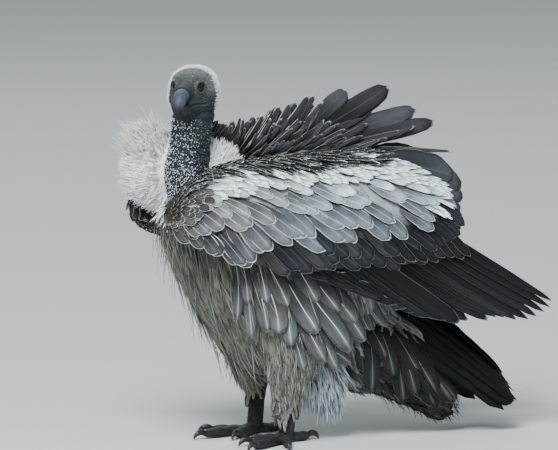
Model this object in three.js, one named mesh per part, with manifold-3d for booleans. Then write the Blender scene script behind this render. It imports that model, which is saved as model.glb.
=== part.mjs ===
// A standing white-backed vulture at life size, in millimetres, with its head turned to its left.
// The bird faces -X, its left side is -Y, up is +Z and the floor is Z = 0.
// Each form is a closed solid. Earlier forms keep their shape and later ones are cut to meet them.
import * as THREE from "three";
import { mergeVertices } from "three/addons/utils/BufferGeometryUtils.js";
import Module from "manifold-3d";

const wasm = await Module();
wasm.setup();

// ---- Driving dimensions ----
const ORIGIN = [105.8, 0, 0]; // the middle of the whole bird's footprint, which becomes the part's origin
const GAP = 0.5; // the growth of a solid that others are cut with, which leaves at least 0.3 between them
const UP = new THREE.Vector3(0, 0, 1);
const LEFT = -1;
const RIGHT = 1;

const HEAD = { at: [-126, -9, 515], turn: 55, nod: 3 }; // turned to the left of -X and nodding down, degrees
const EYE = { forward: 21.5, out: 14.5, up: 10, radius: 9.5 };

const FOOT = { toe: 90, outerToe: 64, innerToe: 60, hindToe: 44, claw: 22, sink: 2.6 };
const FEET = {
  [LEFT]: { ankle: [12, -50, 96], ball: [2, -50, 11], turnOut: 40, hindTurn: 198, thighTip: [-24, 18] },
  [RIGHT]: { ankle: [0, 50, 96], ball: [-10, 50, 11], turnOut: -16, hindTurn: 172, thighTip: [-6, 48] },
};

const WING = { front: 40, back: 13, edge: 0.3, bulge: 26 }; // shell thickness at the wrist and at the rear
const WING_SHIFT = { [LEFT]: [0, 0, 0], [RIGHT]: [14, 0, -4] }; // the right wrist is held a little further back

// ---- Tools ----
const v3 = (p) => new THREE.Vector3(...p);
const lerp = THREE.MathUtils.lerp;
const radians = THREE.MathUtils.degToRad;

// The value at t, from 0 to 1, of a smooth line through evenly spaced values.
function along(values, t) {
  const line = new THREE.SplineCurve(values.map((value, i) => new THREE.Vector2(i, value)));
  return line.getPoint(t).y;
}

// A closed tube along a smooth spine: a sphere whose rings are moved onto the spine's cross-sections.
// half is its half width, rise and fall reach towards and away from up. An upright one has vertical sections.
function limb({ spine, half, rise, fall = rise, up = UP, upright = false, around = 16, rings = 14, square = 1 }) {
  const curve = new THREE.CatmullRomCurve3(spine.map(v3), false, "centripetal");
  const ball = new THREE.SphereGeometry(1, around, rings);
  const { position, uv } = ball.attributes;
  const bent = (value) => Math.sign(value) * Math.abs(value) ** square;
  for (let i = 0; i < position.count; i++) {
    const t = THREE.MathUtils.clamp(1 - uv.getY(i), 0, 1);
    const turn = Math.atan2(position.getZ(i), -position.getX(i));
    const pole = t < 1e-6 || t > 1 - 1e-6;
    const forward = curve.getTangent(t);
    if (upright) forward.projectOnPlane(up).normalize();
    const side = new THREE.Vector3().crossVectors(forward, up).normalize();
    const top = new THREE.Vector3().crossVectors(side, forward).normalize();
    const place = curve.getPoint(t);
    if (!pole) {
      const high = Math.sin(turn) > 0 ? rise : fall;
      place.addScaledVector(side, bent(Math.cos(turn)) * along(half, t));
      place.addScaledVector(top, bent(Math.sin(turn)) * along(high, t));
    }
    position.setXYZ(i, place.x, place.y, place.z);
  }
  return ball;
}

// A body form from its outline: each station is [x, top, bottom, half width], with y for a middle off the plane.
function hull(stations, y = 0, shape = {}) {
  return limb({
    spine: stations.map(([x, top, bottom]) => [x, y, (top + bottom) / 2]),
    rise: stations.map(([, top, bottom]) => (top - bottom) / 2),
    half: stations.map(([, , , half]) => half),
    upright: true,
    ...shape,
  });
}

// A single large feather: a thin slab bent along its shaft, with its flat side towards face.
const VANE = [0.34, 0.74, 0.95, 1, 1, 0.9, 0.42];
function blade({ root, tip, width, face, bow = 0, thick = 2.6, outline = VANE, rings = 8 }) {
  const middle = v3(root).lerp(v3(tip), 0.5).addScaledVector(face, bow);
  const shaft = new THREE.CatmullRomCurve3([v3(root), middle, v3(tip)]);
  const slab = new THREE.BoxGeometry(1, 1, 1, 1, rings, 1);
  const { position } = slab.attributes;
  for (let i = 0; i < position.count; i++) {
    const t = position.getY(i) + 0.5;
    const forward = shaft.getTangent(t);
    const side = new THREE.Vector3().crossVectors(forward, face).normalize();
    const top = new THREE.Vector3().crossVectors(side, forward);
    const place = shaft.getPoint(t);
    place.addScaledVector(side, position.getX(i) * along(outline, t) * width);
    place.addScaledVector(top, position.getZ(i) * thick);
    position.setXYZ(i, place.x, place.y, place.z);
  }
  return slab;
}

// A geometry's position-only copy with shared corners, its faces turned out if a mirror has turned them in.
function facingOut(geometry) {
  const copy = geometry.clone();
  for (const name of Object.keys(copy.attributes)) {
    if (name !== "position") copy.deleteAttribute(name);
  }
  const merged = mergeVertices(copy, 1e-3);
  if (manifold(merged).volume() < 0) {
    const corners = merged.index.array;
    for (let i = 0; i < corners.length; i += 3) {
      [corners[i + 1], corners[i + 2]] = [corners[i + 2], corners[i + 1]];
    }
  }
  return merged;
}

function manifold(merged) {
  const vertProperties = new Float32Array(merged.attributes.position.array);
  const triVerts = new Uint32Array(merged.index.array);
  return new wasm.Manifold(new wasm.Mesh({ numProp: 3, vertProperties, triVerts }));
}

// Every corner's outward direction, with its faces weighted by the angle that they take up there.
function outward(merged) {
  const { position } = merged.attributes;
  const corners = merged.index.array;
  const ways = Array.from({ length: position.count }, () => new THREE.Vector3());
  for (let i = 0; i < corners.length; i += 3) {
    const face = [0, 1, 2].map((k) => new THREE.Vector3().fromBufferAttribute(position, corners[i + k]));
    const normal = new THREE.Triangle(...face).getNormal(new THREE.Vector3());
    face.forEach((corner, k) => {
      const next = face[(k + 1) % 3].clone().sub(corner);
      const last = face[(k + 2) % 3].clone().sub(corner);
      ways[corners[i + k]].addScaledVector(normal, next.angleTo(last));
    });
  }
  return ways.map((way) => way.normalize());
}

// A geometry's solid, with every corner moved outward so that a cut with it leaves a gap.
function solid(geometry, by = 0) {
  const merged = facingOut(geometry);
  const { position } = merged.attributes;
  outward(merged).forEach((way, i) => {
    const place = new THREE.Vector3().fromBufferAttribute(position, i).addScaledVector(way, by);
    position.setXYZ(i, place.x, place.y, place.z);
  });
  return manifold(merged);
}

const joined = (geometries, by = 0) => geometries.map((g) => solid(g, by)).reduce((a, b) => a.add(b));
const biggest = (shape) => shape.decompose().sort((a, b) => b.volume() - a.volume())[0];
const mirrored = (geometry, side) => geometry.scale(1, side === LEFT ? 1 : -1, 1);

function geometryOf(shape) {
  const mesh = shape.getMesh();
  const geometry = new THREE.BufferGeometry();
  geometry.setAttribute("position", new THREE.BufferAttribute(mesh.vertProperties, 3));
  geometry.setIndex(new THREE.BufferAttribute(mesh.triVerts, 1));
  return geometry;
}

// ---- Head: local axes are forward, left and up from the middle of the skull ----
const headForward = new THREE.Vector3(-1, 0, 0)
  .applyAxisAngle(new THREE.Vector3(0, 1, 0), radians(-HEAD.nod))
  .applyAxisAngle(UP, radians(HEAD.turn));
const headLeft = new THREE.Vector3().crossVectors(UP, headForward).normalize();
const headUp = new THREE.Vector3().crossVectors(headForward, headLeft);
const headPose = new THREE.Matrix4().makeBasis(headForward, headLeft, headUp).setPosition(...HEAD.at);
const onHead = (geometry) => geometry.applyMatrix4(headPose);

function skull() {
  return onHead(
    hull(
      [
        [-52, 4, -12, 8],
        [-42, 24, -28, 24],
        [-26, 32.5, -40, 34],
        [-6, 35, -44, 36.5],
        [12, 33.5, -41, 32],
        [27, 29, -34, 21.5],
        [41, 22, -28, 16],
        [52, 14, -22, 12],
      ],
      0,
      { around: 14, rings: 11, square: 0.88 },
    ),
  );
}

function cere() {
  return onHead(
    hull(
      [
        [34, 15, -8, 12],
        [41, 18, -9, 14],
        [50, 17, -9, 13.6],
        [58, 14.5, -9, 12.8],
        [61, 11, -7, 9],
      ],
      0,
      { around: 10, rings: 6 },
    ),
  );
}

function upperBill() {
  return onHead(
    limb({
      spine: [[50, 0, 3.5], [60, 0, 3.2], [71, 0, 0.8], [79.5, 0, -6.5], [84, 0, -16], [85, 0, -25]],
      half: [12, 12.4, 11.4, 8.6, 4.6, 0.9],
      rise: [9, 10.4, 9.4, 7.2, 4.2, 0.9],
      fall: [9, 10.6, 8.6, 6.2, 3.6, 0.9],
      around: 12,
      rings: 10,
    }),
  );
}

function lowerBill() {
  return onHead(
    limb({
      spine: [[36, 0, -14], [48, 0, -13.8], [62, 0, -13.2], [74, 0, -11.5]],
      half: [11.5, 11.6, 9.6, 2],
      rise: [4, 5, 4.6, 1.2],
      fall: [5, 5.4, 4.4, 1.2],
      around: 8,
      rings: 6,
    }),
  );
}

function eye(side) {
  const ball = new THREE.SphereGeometry(EYE.radius, 10, 7);
  return onHead(ball.translate(EYE.forward, -side * EYE.out, EYE.up));
}

// ---- Neck, ruff, trunk and tail ----
function neck() {
  return limb({
    spine: [[-120, -7, 500], [-124, -5, 468], [-128, -2, 430], [-131, 0, 392], [-122, 0, 352], [-92, 0, 322]],
    half: [32, 34, 33, 34, 35, 26],
    rise: [32, 33, 33, 34, 35, 26],
    up: new THREE.Vector3(-1, 0, 0),
    around: 14,
    rings: 9,
  });
}

// The ruff stands up round the front, the far side and the back of the neck.
function ruff() {
  return hull(
    [
      [-214, 408, 384, 10],
      [-200, 452, 352, 36],
      [-174, 470, 334, 52],
      [-142, 458, 328, 58],
      [-106, 450, 340, 58],
      [-74, 443, 360, 50],
      [-46, 424, 386, 26],
    ],
    26,
    { around: 14, rings: 8 },
  );
}

function trunk() {
  return hull(
    [
      [-172, 346, 322, 22],
      [-158, 362, 280, 52],
      [-126, 388, 214, 80],
      [-88, 402, 148, 98],
      [-48, 412, 100, 108],
      [14, 420, 84, 112],
      [68, 421, 92, 100],
      [122, 408, 116, 80],
      [176, 370, 158, 54],
      [220, 312, 200, 32],
      [244, 276, 240, 12],
    ],
    0,
    { around: 16, rings: 12, square: 0.92 },
  );
}

function undertail() {
  return hull(
    [
      [76, 200, 120, 34],
      [104, 200, 66, 48],
      [146, 192, 60, 50],
      [188, 178, 42, 44],
      [224, 150, 28, 36],
      [252, 116, 14, 26],
      [276, 72, 22, 12],
    ],
    -20,
    { around: 12, rings: 8 },
  );
}

// The soft white down that hangs behind the legs.
function vent() {
  return limb({
    spine: [[44, -6, 150], [62, -16, 104], [74, -28, 64], [66, -40, 22]],
    half: [44, 56, 42, 12],
    rise: [44, 50, 36, 9],
    up: new THREE.Vector3(1, 0, 0),
    around: 10,
    rings: 6,
  });
}

// The folded tail: a steep roof of twelve feathers, highest in the middle.
const TAIL = {
  count: 12,
  roots: [[186, -50, 134], [176, 0, 228], [186, 50, 134]],
  tips: [[338, -60, 30], [364, -52, 36], [364, -28, 56], [360, 0, 77], [364, 28, 56], [364, 52, 36], [338, 60, 30]],
  face: new THREE.Vector3(0.62, 0, 0.78),
  bow: 12,
  notch: 0.06,
  rows: 3,
};

// ---- Wings: a folded arm with its coverts, then the fans of secondaries and primaries ----
const WING_TOP = [[-190, -98, 358], [-142, -82, 393], [-82, -68, 411], [21, -58, 418], [98, -56, 421], [176, -54, 406]]
  .concat([[238, -54, 374], [266, -56, 346]]);
const WING_FOOT = [[-195, -104, 342], [-176, -122, 314], [-94, -130, 277], [-10, -134, 255], [50, -132, 254]]
  .concat([[126, -120, 254], [206, -100, 256], [262, -76, 270]]);

// The wing's outer face at u, from the wrist to the rear, and v, from its lower edge to its top.
function wingFace(u, v) {
  const top = new THREE.CatmullRomCurve3(WING_TOP.map(v3)).getPoint(u);
  const foot = new THREE.CatmullRomCurve3(WING_FOOT.map(v3)).getPoint(u);
  const swell = WING.bulge * 4 * v * (1 - v) * Math.min(1, u / 0.12);
  return foot.lerp(top, v).add(new THREE.Vector3(0, -swell, 0.25 * swell));
}

function wing(side) {
  const sheet = new THREE.BoxGeometry(1, 1, 1, 14, 6, 1);
  const { position } = sheet.attributes;
  for (let i = 0; i < position.count; i++) {
    const u = position.getX(i) + 0.5;
    const v = position.getY(i) + 0.5;
    const place = wingFace(u, v);
    if (position.getZ(i) < 0) {
      const round = Math.sqrt(Math.sin(Math.PI * v) * Math.min(1, u / 0.1));
      place.y += lerp(WING.front, WING.back, u) * (WING.edge + (1 - WING.edge) * round);
    }
    position.setXYZ(i, place.x, place.y, place.z);
  }
  return mirrored(sheet, side).translate(...WING_SHIFT[side]);
}

// A fan of long feathers as one pleated sheet: a ridge along each shaft and a notch between the tips.
function fan({ count, roots, tips, face, bow, notch, thick = 2.4, ridge = 2.2, rows = 4 }) {
  const from = new THREE.CatmullRomCurve3(roots.map(v3));
  const to = new THREE.CatmullRomCurve3(tips.map(v3));
  const sheet = new THREE.BoxGeometry(1, 1, 1, 2 * count, rows, 1);
  const { position } = sheet.attributes;
  for (let i = 0; i < position.count; i++) {
    const across = position.getX(i) + 0.5;
    const t = position.getY(i) + 0.5;
    const onShaft = 1 - Math.abs(2 * ((across * count) % 1) - 1);
    const reach = t > 0.999 ? 1 - notch * (1 - onShaft) : t;
    const place = from.getPoint(across).lerp(to.getPoint(across), reach);
    place.addScaledVector(face, 4 * bow * t * (1 - t) + ridge * onShaft + position.getZ(i) * thick);
    position.setXYZ(i, place.x, place.y, place.z);
  }
  return sheet;
}

const OUTWARD = new THREE.Vector3(0, -1, 0.25).normalize();
const onWing = (geometry, side) => mirrored(geometry, side).translate(...WING_SHIFT[side]);

const SECONDARIES = {
  count: 7,
  roots: [[-70, -124, 290], [60, -128, 312]],
  tips: [[58, -129, 252], [132, -121, 215], [206, -106, 183], [262, -92, 168]],
  face: OUTWARD,
  bow: 5,
  notch: 0.07,
  rows: 2,
};

const PRIMARIES = {
  count: 7,
  roots: [[70, -124, 300], [170, -92, 344]],
  tips: [[268, -86, 164], [318, -75, 168], [348, -68, 161], [380, -62, 162], [406, -54, 171], [414, -45, 187]],
  face: OUTWARD,
  bow: 6,
  notch: 0.14,
  rows: 4,
};

// Long rounded feathers over the folded wing's rear, below and behind the shoulder.
const TERTIALS = {
  count: 3,
  roots: [[126, -58, 372], [136, -46, 404]],
  tips: [[262, -66, 296], [272, -58, 330], [276, -50, 358], [258, -48, 382]],
  face: OUTWARD,
  bow: 7,
  notch: 0.04,
  rows: 3,
};

// The right shoulder's raised feathers: short and steep in front, long and nearly level behind.
const RAISED = {
  roots: [[-72, 6, 396], [-30, 16, 400], [24, 24, 402], [76, 28, 402], [112, 30, 396]],
  tips: [
    [-86, 6, 464],
    [-42, 14, 462],
    [-8, 20, 472],
    [30, 27, 493],
    [76, 31, 498],
    [126, 36, 502],
    [202, 42, 505],
    [238, 42, 469],
    [270, 38, 448],
    [225, 30, 436],
    [186, 26, 423],
  ],
  width: [26, 34, 42, 46, 40, 34],
};
function raised() {
  const from = new THREE.CatmullRomCurve3(RAISED.roots.map(v3));
  const face = new THREE.Vector3(-0.25, -0.9, 0.45).normalize();
  const feathers = RAISED.tips.map((tip, k) => {
    const t = k / (RAISED.tips.length - 1);
    const root = from.getPoint(t).toArray();
    return blade({ root, tip, width: along(RAISED.width, t), face, bow: 8, thick: 4, rings: 3 });
  });
  const shoulder = limb({
    spine: [[-84, 6, 404], [-30, 16, 420], [60, 26, 426], [130, 30, 418], [176, 28, 408]],
    half: [7, 13, 15, 13, 5],
    rise: [24, 32, 38, 26, 8],
    fall: [20, 30, 34, 26, 8],
    around: 7,
    rings: 5,
  });
  return [shoulder, ...feathers, blade({ root: [120, 28, 416], tip: [290, 10, 405], width: 9, face, rings: 3 })];
}

// ---- Legs ----
function thigh(side) {
  const { ball: [x, y], thighTip: [tip, low] } = FEET[side];
  return limb({
    spine: [[x + 36, y * 1.1, 236], [x + 20, y * 1.22, 190], [x + 4, y * 1.22, 130], [x - 3, y * 1.14, 80], [tip, y * 1.1, low]],
    half: [22, 44, 39, 25, 5],
    rise: [26, 58, 50, 26, 6],
    up: new THREE.Vector3(1, 0, 0),
    around: 12,
    rings: 8,
  });
}

function shank(side) {
  const { ankle, ball } = FEET[side];
  return limb({
    spine: [ankle, [(ankle[0] + ball[0]) / 2, ankle[1], 52], [ball[0] + 2, ball[1], 22], [ball[0], ball[1], 8]],
    half: [12, 11, 11, 10],
    rise: [13, 12.5, 12, 10],
    up: new THREE.Vector3(-1, 0, 0),
    around: 10,
    rings: 5,
  });
}

// Each front toe's direction in degrees from the foot's own, positive outwards; each toe's length and thickness.
const TOES = [
  { name: "middle", turn: 0, long: FOOT.toe, thick: 8.5 },
  { name: "outer", turn: 34, long: FOOT.outerToe, thick: 7.5 },
  { name: "inner", turn: -30, long: FOOT.innerToe, thick: 8.5 },
  { name: "hind", long: FOOT.hindToe, thick: 8 },
];

// A point at a distance along a toe's direction from the ball of the foot, at a height above the floor.
function onToe(side, toe, distance, height) {
  const { ball, turnOut, hindTurn } = FEET[side];
  const turn = radians(toe.name === "hind" ? hindTurn : toe.turn + turnOut);
  return [ball[0] - Math.cos(turn) * distance, ball[1] + side * Math.sin(turn) * distance, height];
}

function toeGeometry(side, toe) {
  const low = toe.thick - FOOT.sink;
  const steps = [-2, 0.25 * toe.long, 0.5 * toe.long, 0.75 * toe.long, toe.long];
  const heights = [low + 2, low + 3, low + 1, low + 2, low - 1];
  return limb({
    spine: steps.map((distance, i) => onToe(side, toe, distance, heights[i])),
    half: [toe.thick, toe.thick, toe.thick * 0.92, toe.thick * 0.95, toe.thick * 0.55],
    rise: [toe.thick + 2, toe.thick, toe.thick * 0.9, toe.thick * 0.95, toe.thick * 0.6],
    fall: [toe.thick + 3, toe.thick + 3, toe.thick + 1, toe.thick + 2, toe.thick * 0.8],
    around: 6,
    rings: 5,
  });
}

function clawGeometry(side, toe) {
  const steps = [toe.long - 4, toe.long + 5, toe.long + 13, toe.long + FOOT.claw - 4];
  const heights = [7.5, 10.5, 7.5, 0];
  return limb({
    spine: steps.map((distance, i) => onToe(side, toe, distance, heights[i])),
    half: [3.6, 4, 3, 0.8],
    rise: [4, 4.4, 3.4, 0.8],
    around: 5,
    rings: 5,
  });
}

// ---- The whole bird ----
const FINISH = {
  eye: ["#1a1210", 0.12],
  bill: ["#566070", 0.42],
  cere: ["#3c4046", 0.5],
  face: ["#6b675e", 0.85],
  neck: ["#5a5854", 0.9],
  down: ["#dcdcd4", 0.95],
  coverts: ["#9c9088", 0.8],
  flight: ["#2c292b", 0.7],
  body: ["#7d7060", 0.9],
  undertail: ["#4a3f38", 0.85],
  tail: ["#131214", 0.7],
  scapulars: ["#3a3435", 0.75],
  scales: ["#26262a", 0.7],
  claw: ["#17171a", 0.4],
};

const forms = [];
function add(name, finish, geometries) {
  forms.push({ name, finish, exact: joined(geometries), cutter: joined(geometries, GAP) });
}

const SIDES = [["left", LEFT], ["right", RIGHT]];
for (const [word, side] of SIDES) add(`eye_${word}`, "eye", [eye(side)]);
add("bill_upper", "bill", [upperBill()]);
add("bill_lower", "bill", [lowerBill()]);
add("cere", "cere", [cere()]);
add("head", "face", [skull()]);
add("neck", "neck", [neck()]);
for (const [word, side] of SIDES) {
  add(`wing_${word}`, "coverts", [wing(side)]);
  add(`thigh_${word}`, "body", [thigh(side)]);
}
add("trunk", "body", [trunk()]);
add("ruff", "down", [ruff()]);
add("scapulars_raised", "scapulars", raised());
add("undertail", "undertail", [undertail()]);
add("vent_down", "down", [vent()]);
for (const [word, side] of SIDES) {
  add(`tertials_${word}`, "scapulars", [onWing(fan(TERTIALS), side)]);
  add(`primaries_${word}`, "flight", [onWing(fan(PRIMARIES), side)]);
  add(`secondaries_${word}`, "flight", [onWing(fan(SECONDARIES), side)]);
}
add("tail", "tail", [fan(TAIL)]);
for (const [word, side] of SIDES) {
  for (const toe of TOES) add(`claw_${toe.name}_${word}`, "claw", [clawGeometry(side, toe)]);
  add(`shank_${word}`, "scales", [shank(side)]);
  add(`foot_${word}`, "scales", TOES.map((toe) => toeGeometry(side, toe)));
}

const floor = solid(new THREE.BoxGeometry(2000, 2000, 100).translate(0, 0, -50));
const bird = new THREE.Group();
bird.name = "white_backed_vulture";
bird.position.set(-ORIGIN[0], -ORIGIN[1], -ORIGIN[2]);
forms.forEach(({ name, finish, exact }, i) => {
  const cut = forms.slice(0, i).reduce((shape, earlier) => shape.subtract(earlier.cutter), exact.subtract(floor));
  const [color, roughness] = FINISH[finish];
  const material = new THREE.MeshStandardMaterial({ color, roughness, metalness: 0 });
  const mesh = new THREE.Mesh(geometryOf(biggest(cut)), material);
  mesh.name = name;
  bird.add(mesh);
});

export default bird;
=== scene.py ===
import math
from collections import namedtuple
from functools import partial

import bmesh
import bpy
import numpy as np
from mathutils import Matrix, Vector
from mathutils.bvhtree import BVHTree


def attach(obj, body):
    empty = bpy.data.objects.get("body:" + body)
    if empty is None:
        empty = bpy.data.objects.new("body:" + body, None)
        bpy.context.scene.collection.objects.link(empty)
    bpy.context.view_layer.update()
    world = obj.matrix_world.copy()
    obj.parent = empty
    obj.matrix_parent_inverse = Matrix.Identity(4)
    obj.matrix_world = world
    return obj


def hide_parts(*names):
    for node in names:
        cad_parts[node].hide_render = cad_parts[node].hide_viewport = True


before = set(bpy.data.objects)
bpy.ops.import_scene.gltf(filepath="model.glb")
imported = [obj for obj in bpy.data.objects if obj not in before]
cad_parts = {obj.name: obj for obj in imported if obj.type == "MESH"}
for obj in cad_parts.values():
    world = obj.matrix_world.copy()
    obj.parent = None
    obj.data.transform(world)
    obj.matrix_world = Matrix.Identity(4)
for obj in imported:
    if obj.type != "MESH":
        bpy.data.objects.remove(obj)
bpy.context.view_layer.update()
rng = np.random.default_rng(11)

ORIGIN = np.array([105.8, 0.0, 0.0])  # the part's origin in the bird's axes
LEFT, RIGHT = -1, 1
SIDES = ((LEFT, "left"), (RIGHT, "right"))
UP = np.array([0.0, 0.0, 1.0])
THINNEST = 0.4  # no ring of a form has a smaller radius


# ---------------------------------------------------------------- numbers and curves
def to_row(points):
    return (np.asarray(points, float) - ORIGIN) * 0.001


def unit(v):
    return v / np.maximum(np.linalg.norm(v, axis=-1, keepdims=True), 1e-9)


def dot(a, b):
    return np.sum(a * b, axis=-1, keepdims=True)


def smooth(low, high, x):
    t = np.clip((x - low) / (high - low), 0, 1)
    return t * t * (3 - 2 * t)


def mixed(a, b, t):
    t = np.asarray(t, float).reshape(-1, 1)
    return a * (1 - t) + b * t


def spline(points, t):
    """A smooth line through evenly spaced points, or values, at each t from 0 to 1."""
    p = np.asarray(points, float)
    values = p.ndim == 1
    if values:
        p = p[:, None]
    x = np.clip(np.asarray(t, float), 0, 1) * (len(p) - 1)
    i = np.minimum(x.astype(int), len(p) - 2)
    w = (x - i)[..., None]
    more = np.vstack([2 * p[0] - p[1], p, 2 * p[-1] - p[-2]])
    a, b, c, d = more[i], more[i + 1], more[i + 2], more[i + 3]
    out = 0.5 * (2 * b + (c - a) * w + (2 * a - 5 * b + 4 * c - d) * w**2 + (3 * b - a - 3 * c + d) * w**3)
    return out[..., 0] if values else out


def loft(spine, half, rise, fall=None, up=UP, upright=False, around=40, rings=36, square=1.0, inset=0.0):
    """A closed tube along a smooth spine, the same form as the frame's, drawn in by inset."""
    fall = rise if fall is None else fall
    t = np.linspace(0, 1, rings + 1)[1:-1]
    ahead = unit(spline(spine, np.minimum(t + 1e-3, 1)) - spline(spine, np.maximum(t - 1e-3, 0)))
    up = np.asarray(up, float)
    if upright:
        ahead = unit(ahead - dot(ahead, up) * up)
    side = unit(np.cross(ahead, up))
    top = unit(np.cross(side, ahead))
    turn = np.linspace(0, 2 * math.pi, around, endpoint=False)
    c, s = np.cos(turn), np.sin(turn)
    c, s = np.sign(c) * np.abs(c) ** square, np.sign(s) * np.abs(s) ** square
    wide, high, low = (np.maximum(spline(size, t) - inset, THINNEST) for size in (half, rise, fall))
    reach = np.where(s > 0, high[:, None], low[:, None])
    middle = spline(spine, t)
    ring = middle[:, None] + side[:, None] * (wide[:, None] * c)[..., None] + top[:, None] * (reach * s)[...,
                  None]
    poles = spline(spine, np.array([0.0, 1.0]))
    poles[0] += unit(poles[1] - poles[0]) * inset * 0.8
    poles[1] += unit(poles[0] - poles[1]) * inset * 0.8
    verts = np.vstack([ring.reshape(-1, 3), poles])
    n = len(t)
    beside = [(k, (k + 1) % around) for k in range(around)]
    starts = [r * around for r in range(n)]
    faces = [(a + k, a + j, b + j, b + k) for a, b in zip(starts, starts[1:]) for k, j in beside]
    for k, j in beside:
        faces += [(n * around, j, k), (n * around + 1, starts[-1] + k, starts[-1] + j)]
    return verts, faces


def hull(stations, y=0.0, **shape):
    """A body form from its outline: each station is (x, top, bottom, half width)."""
    spine = [(x, y, (top + low) / 2) for x, top, low, _ in stations]
    rise = [(top - low) / 2 for _, top, low, _ in stations]
    return loft(spine, [half for *_, half in stations], rise, upright=True, **shape)


def grid_quads(columns, rows):
    """The faces between the points of a grid, one column after another."""
    pairs = [(i * rows + j, (i + 1) * rows + j) for i in range(columns - 1) for j in range(rows - 1)]
    return [(a, b, b + 1, a + 1) for a, b in pairs]


# ---------------------------------------------------------------- the bird's forms, as in the frame
HEAD_AT = np.array([-126.0, -9.0, 515.0])
nod, turned = math.radians(3), math.radians(55)
level = -math.cos(nod)
head_forward = np.array([level * math.cos(turned), level * math.sin(turned), -math.sin(nod)])
head_left = unit(np.cross(UP, head_forward))
head_up = np.cross(head_forward, head_left)
HEAD_AXES = np.array([head_forward, head_left, head_up])


def on_head(form):
    verts, faces = form
    return verts @ HEAD_AXES + HEAD_AT, faces


def in_head(points):
    return (points - HEAD_AT) @ HEAD_AXES.T


SKULL = [(-52, 4, -12, 8), (-42, 24, -28, 24), (-26, 32.5, -40, 34), (-6, 35, -44, 36.5)]
SKULL += [(12, 33.5, -41, 32), (27, 29, -34, 21.5), (41, 22, -28, 16), (52, 14, -22, 12)]
CERE = [(34, 15, -8, 12), (41, 18, -9, 14), (49, 17, -9, 13.6), (55, 14.8, -9, 12.8), (58.5, 11, -7, 9)]
RUFF = [(-214, 408, 384, 16, 36), (-200, 452, 352, 0, 62), (-174, 470, 334, 6, 78), (-142, 458, 328, 14, 84)]
RUFF += [(-106, 450, 340, 2, 84), (-74, 443, 360, -22, 76), (-46, 424, 386, 2, 52)]
TRUNK = [(-172, 346, 322, 22), (-158, 362, 280, 52), (-126, 388, 214, 80), (-88, 402, 148, 98)]
TRUNK += [(-48, 412, 100, 108), (14, 420, 84, 112), (68, 421, 92, 100), (122, 408, 116, 80)]
TRUNK += [(176, 370, 158, 54), (220, 312, 200, 32), (244, 276, 240, 12)]
UNDERTAIL = [(76, 200, 120, 34), (104, 200, 66, 48), (146, 192, 60, 50), (188, 178, 42, 44)]
UNDERTAIL += [(224, 150, 28, 36), (252, 116, 14, 26), (276, 72, 22, 12)]
NECK_SPINE = [(-120, -7, 500), (-124, -5, 468), (-128, -2, 430), (-131, 0, 392), (-122, 0, 352),
              (-92, 0, 322)]
FEET = {
    LEFT: {"ankle": (12, -50, 96), "ball": (2, -50, 11), "turn": 40, "hind": 198, "tip": (-24, 18)},
    RIGHT: {"ankle": (0, 50, 96), "ball": (-10, 50, 11), "turn": -16, "hind": 172, "tip": (-6, 48)},
}
TOES = {"middle": (0, 90, 8.5), "outer": (34, 64, 7.5), "inner": (-30, 60, 8.5), "hind": (None, 44, 8)}
CLAW = 22
FLOOR_GAP = 0.05  # nothing comes closer to the floor
WING_TOP = [(-190, -98, 358), (-142, -82, 393), (-82, -68, 411), (21, -58, 418), (98, -56, 421),
            (176, -54, 406)]
WING_TOP += [(238, -54, 374), (266, -56, 346)]
WING_FOOT = [(-195, -104, 342), (-176, -122, 314), (-94, -130, 277), (-10, -134, 255), (50, -132, 254)]
WING_FOOT += [(126, -120, 254), (206, -100, 256), (262, -76, 270)]
WING_SHIFT = {LEFT: np.zeros(3), RIGHT: np.array([14.0, 0, -4.0])}


def skull(inset):
    return on_head(hull(SKULL, square=0.88, inset=inset, around=56, rings=48))


def neck(inset):
    return loft(NECK_SPINE, [32, 34, 33, 34, 35, 26], [32, 33, 33, 34, 35, 26], up=(-1, 0, 0), inset=inset)


def ruff(inset):
    """The ruff, drawn back on the near side: each station is (x, top, bottom, near side, far side)."""
    spine = [(x, (near + far) / 2, (top + low) / 2) for x, top, low, near, far in RUFF]
    half = [(far - near) / 2 for *_, near, far in RUFF]
    rise = [(top - low) / 2 for _, top, low, _, _ in RUFF]
    return loft(spine, half, rise, upright=True, inset=inset)


def thigh(side, inset):
    x, y = FEET[side]["ball"][:2]
    tip, low = FEET[side]["tip"]
    spine = [(x + 36, y * 1.1, 236), (x + 20, y * 1.22, 190), (x + 4, y * 1.22, 130), (x - 3, y * 1.14, 80)]
    spine += [(tip, y * 1.1, low + inset * 1.5)]
    return loft(spine, [22, 44, 39, 25, 5], [26, 58, 50, 26, 6], up=(1, 0, 0), inset=inset)


def vent(inset):
    spine = [(44, -6, 150), (62, -16, 104), (74, -28, 64), (66, -40, 22 + inset * 2)]
    return loft(spine, [44, 56, 42, 12], [44, 50, 36, 9], up=(1, 0, 0), inset=inset)


def shank(side):
    ax, ay, _ = FEET[side]["ankle"]
    bx, by, _ = FEET[side]["ball"]
    spine = [(ax + 2, ay, 112), (ax, ay, 96), ((ax + bx) / 2, ay, 52), (bx + 2, by, 22), (bx, by, 8)]
    return loft(spine, [12, 12, 10.2, 10.6, 9], [13, 13, 11.6, 12, 9], up=(-1, 0, 0))


def on_toe(side, name, distance, height):
    """A place above the toe's line, at this distance from the ball of the foot."""
    foot = FEET[side]
    turn = math.radians(foot["hind"] if name == "hind" else TOES[name][0] + foot["turn"])
    x, y, _ = foot["ball"]
    return (x - math.cos(turn) * distance, y + side * math.sin(turn) * distance, height)


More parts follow.
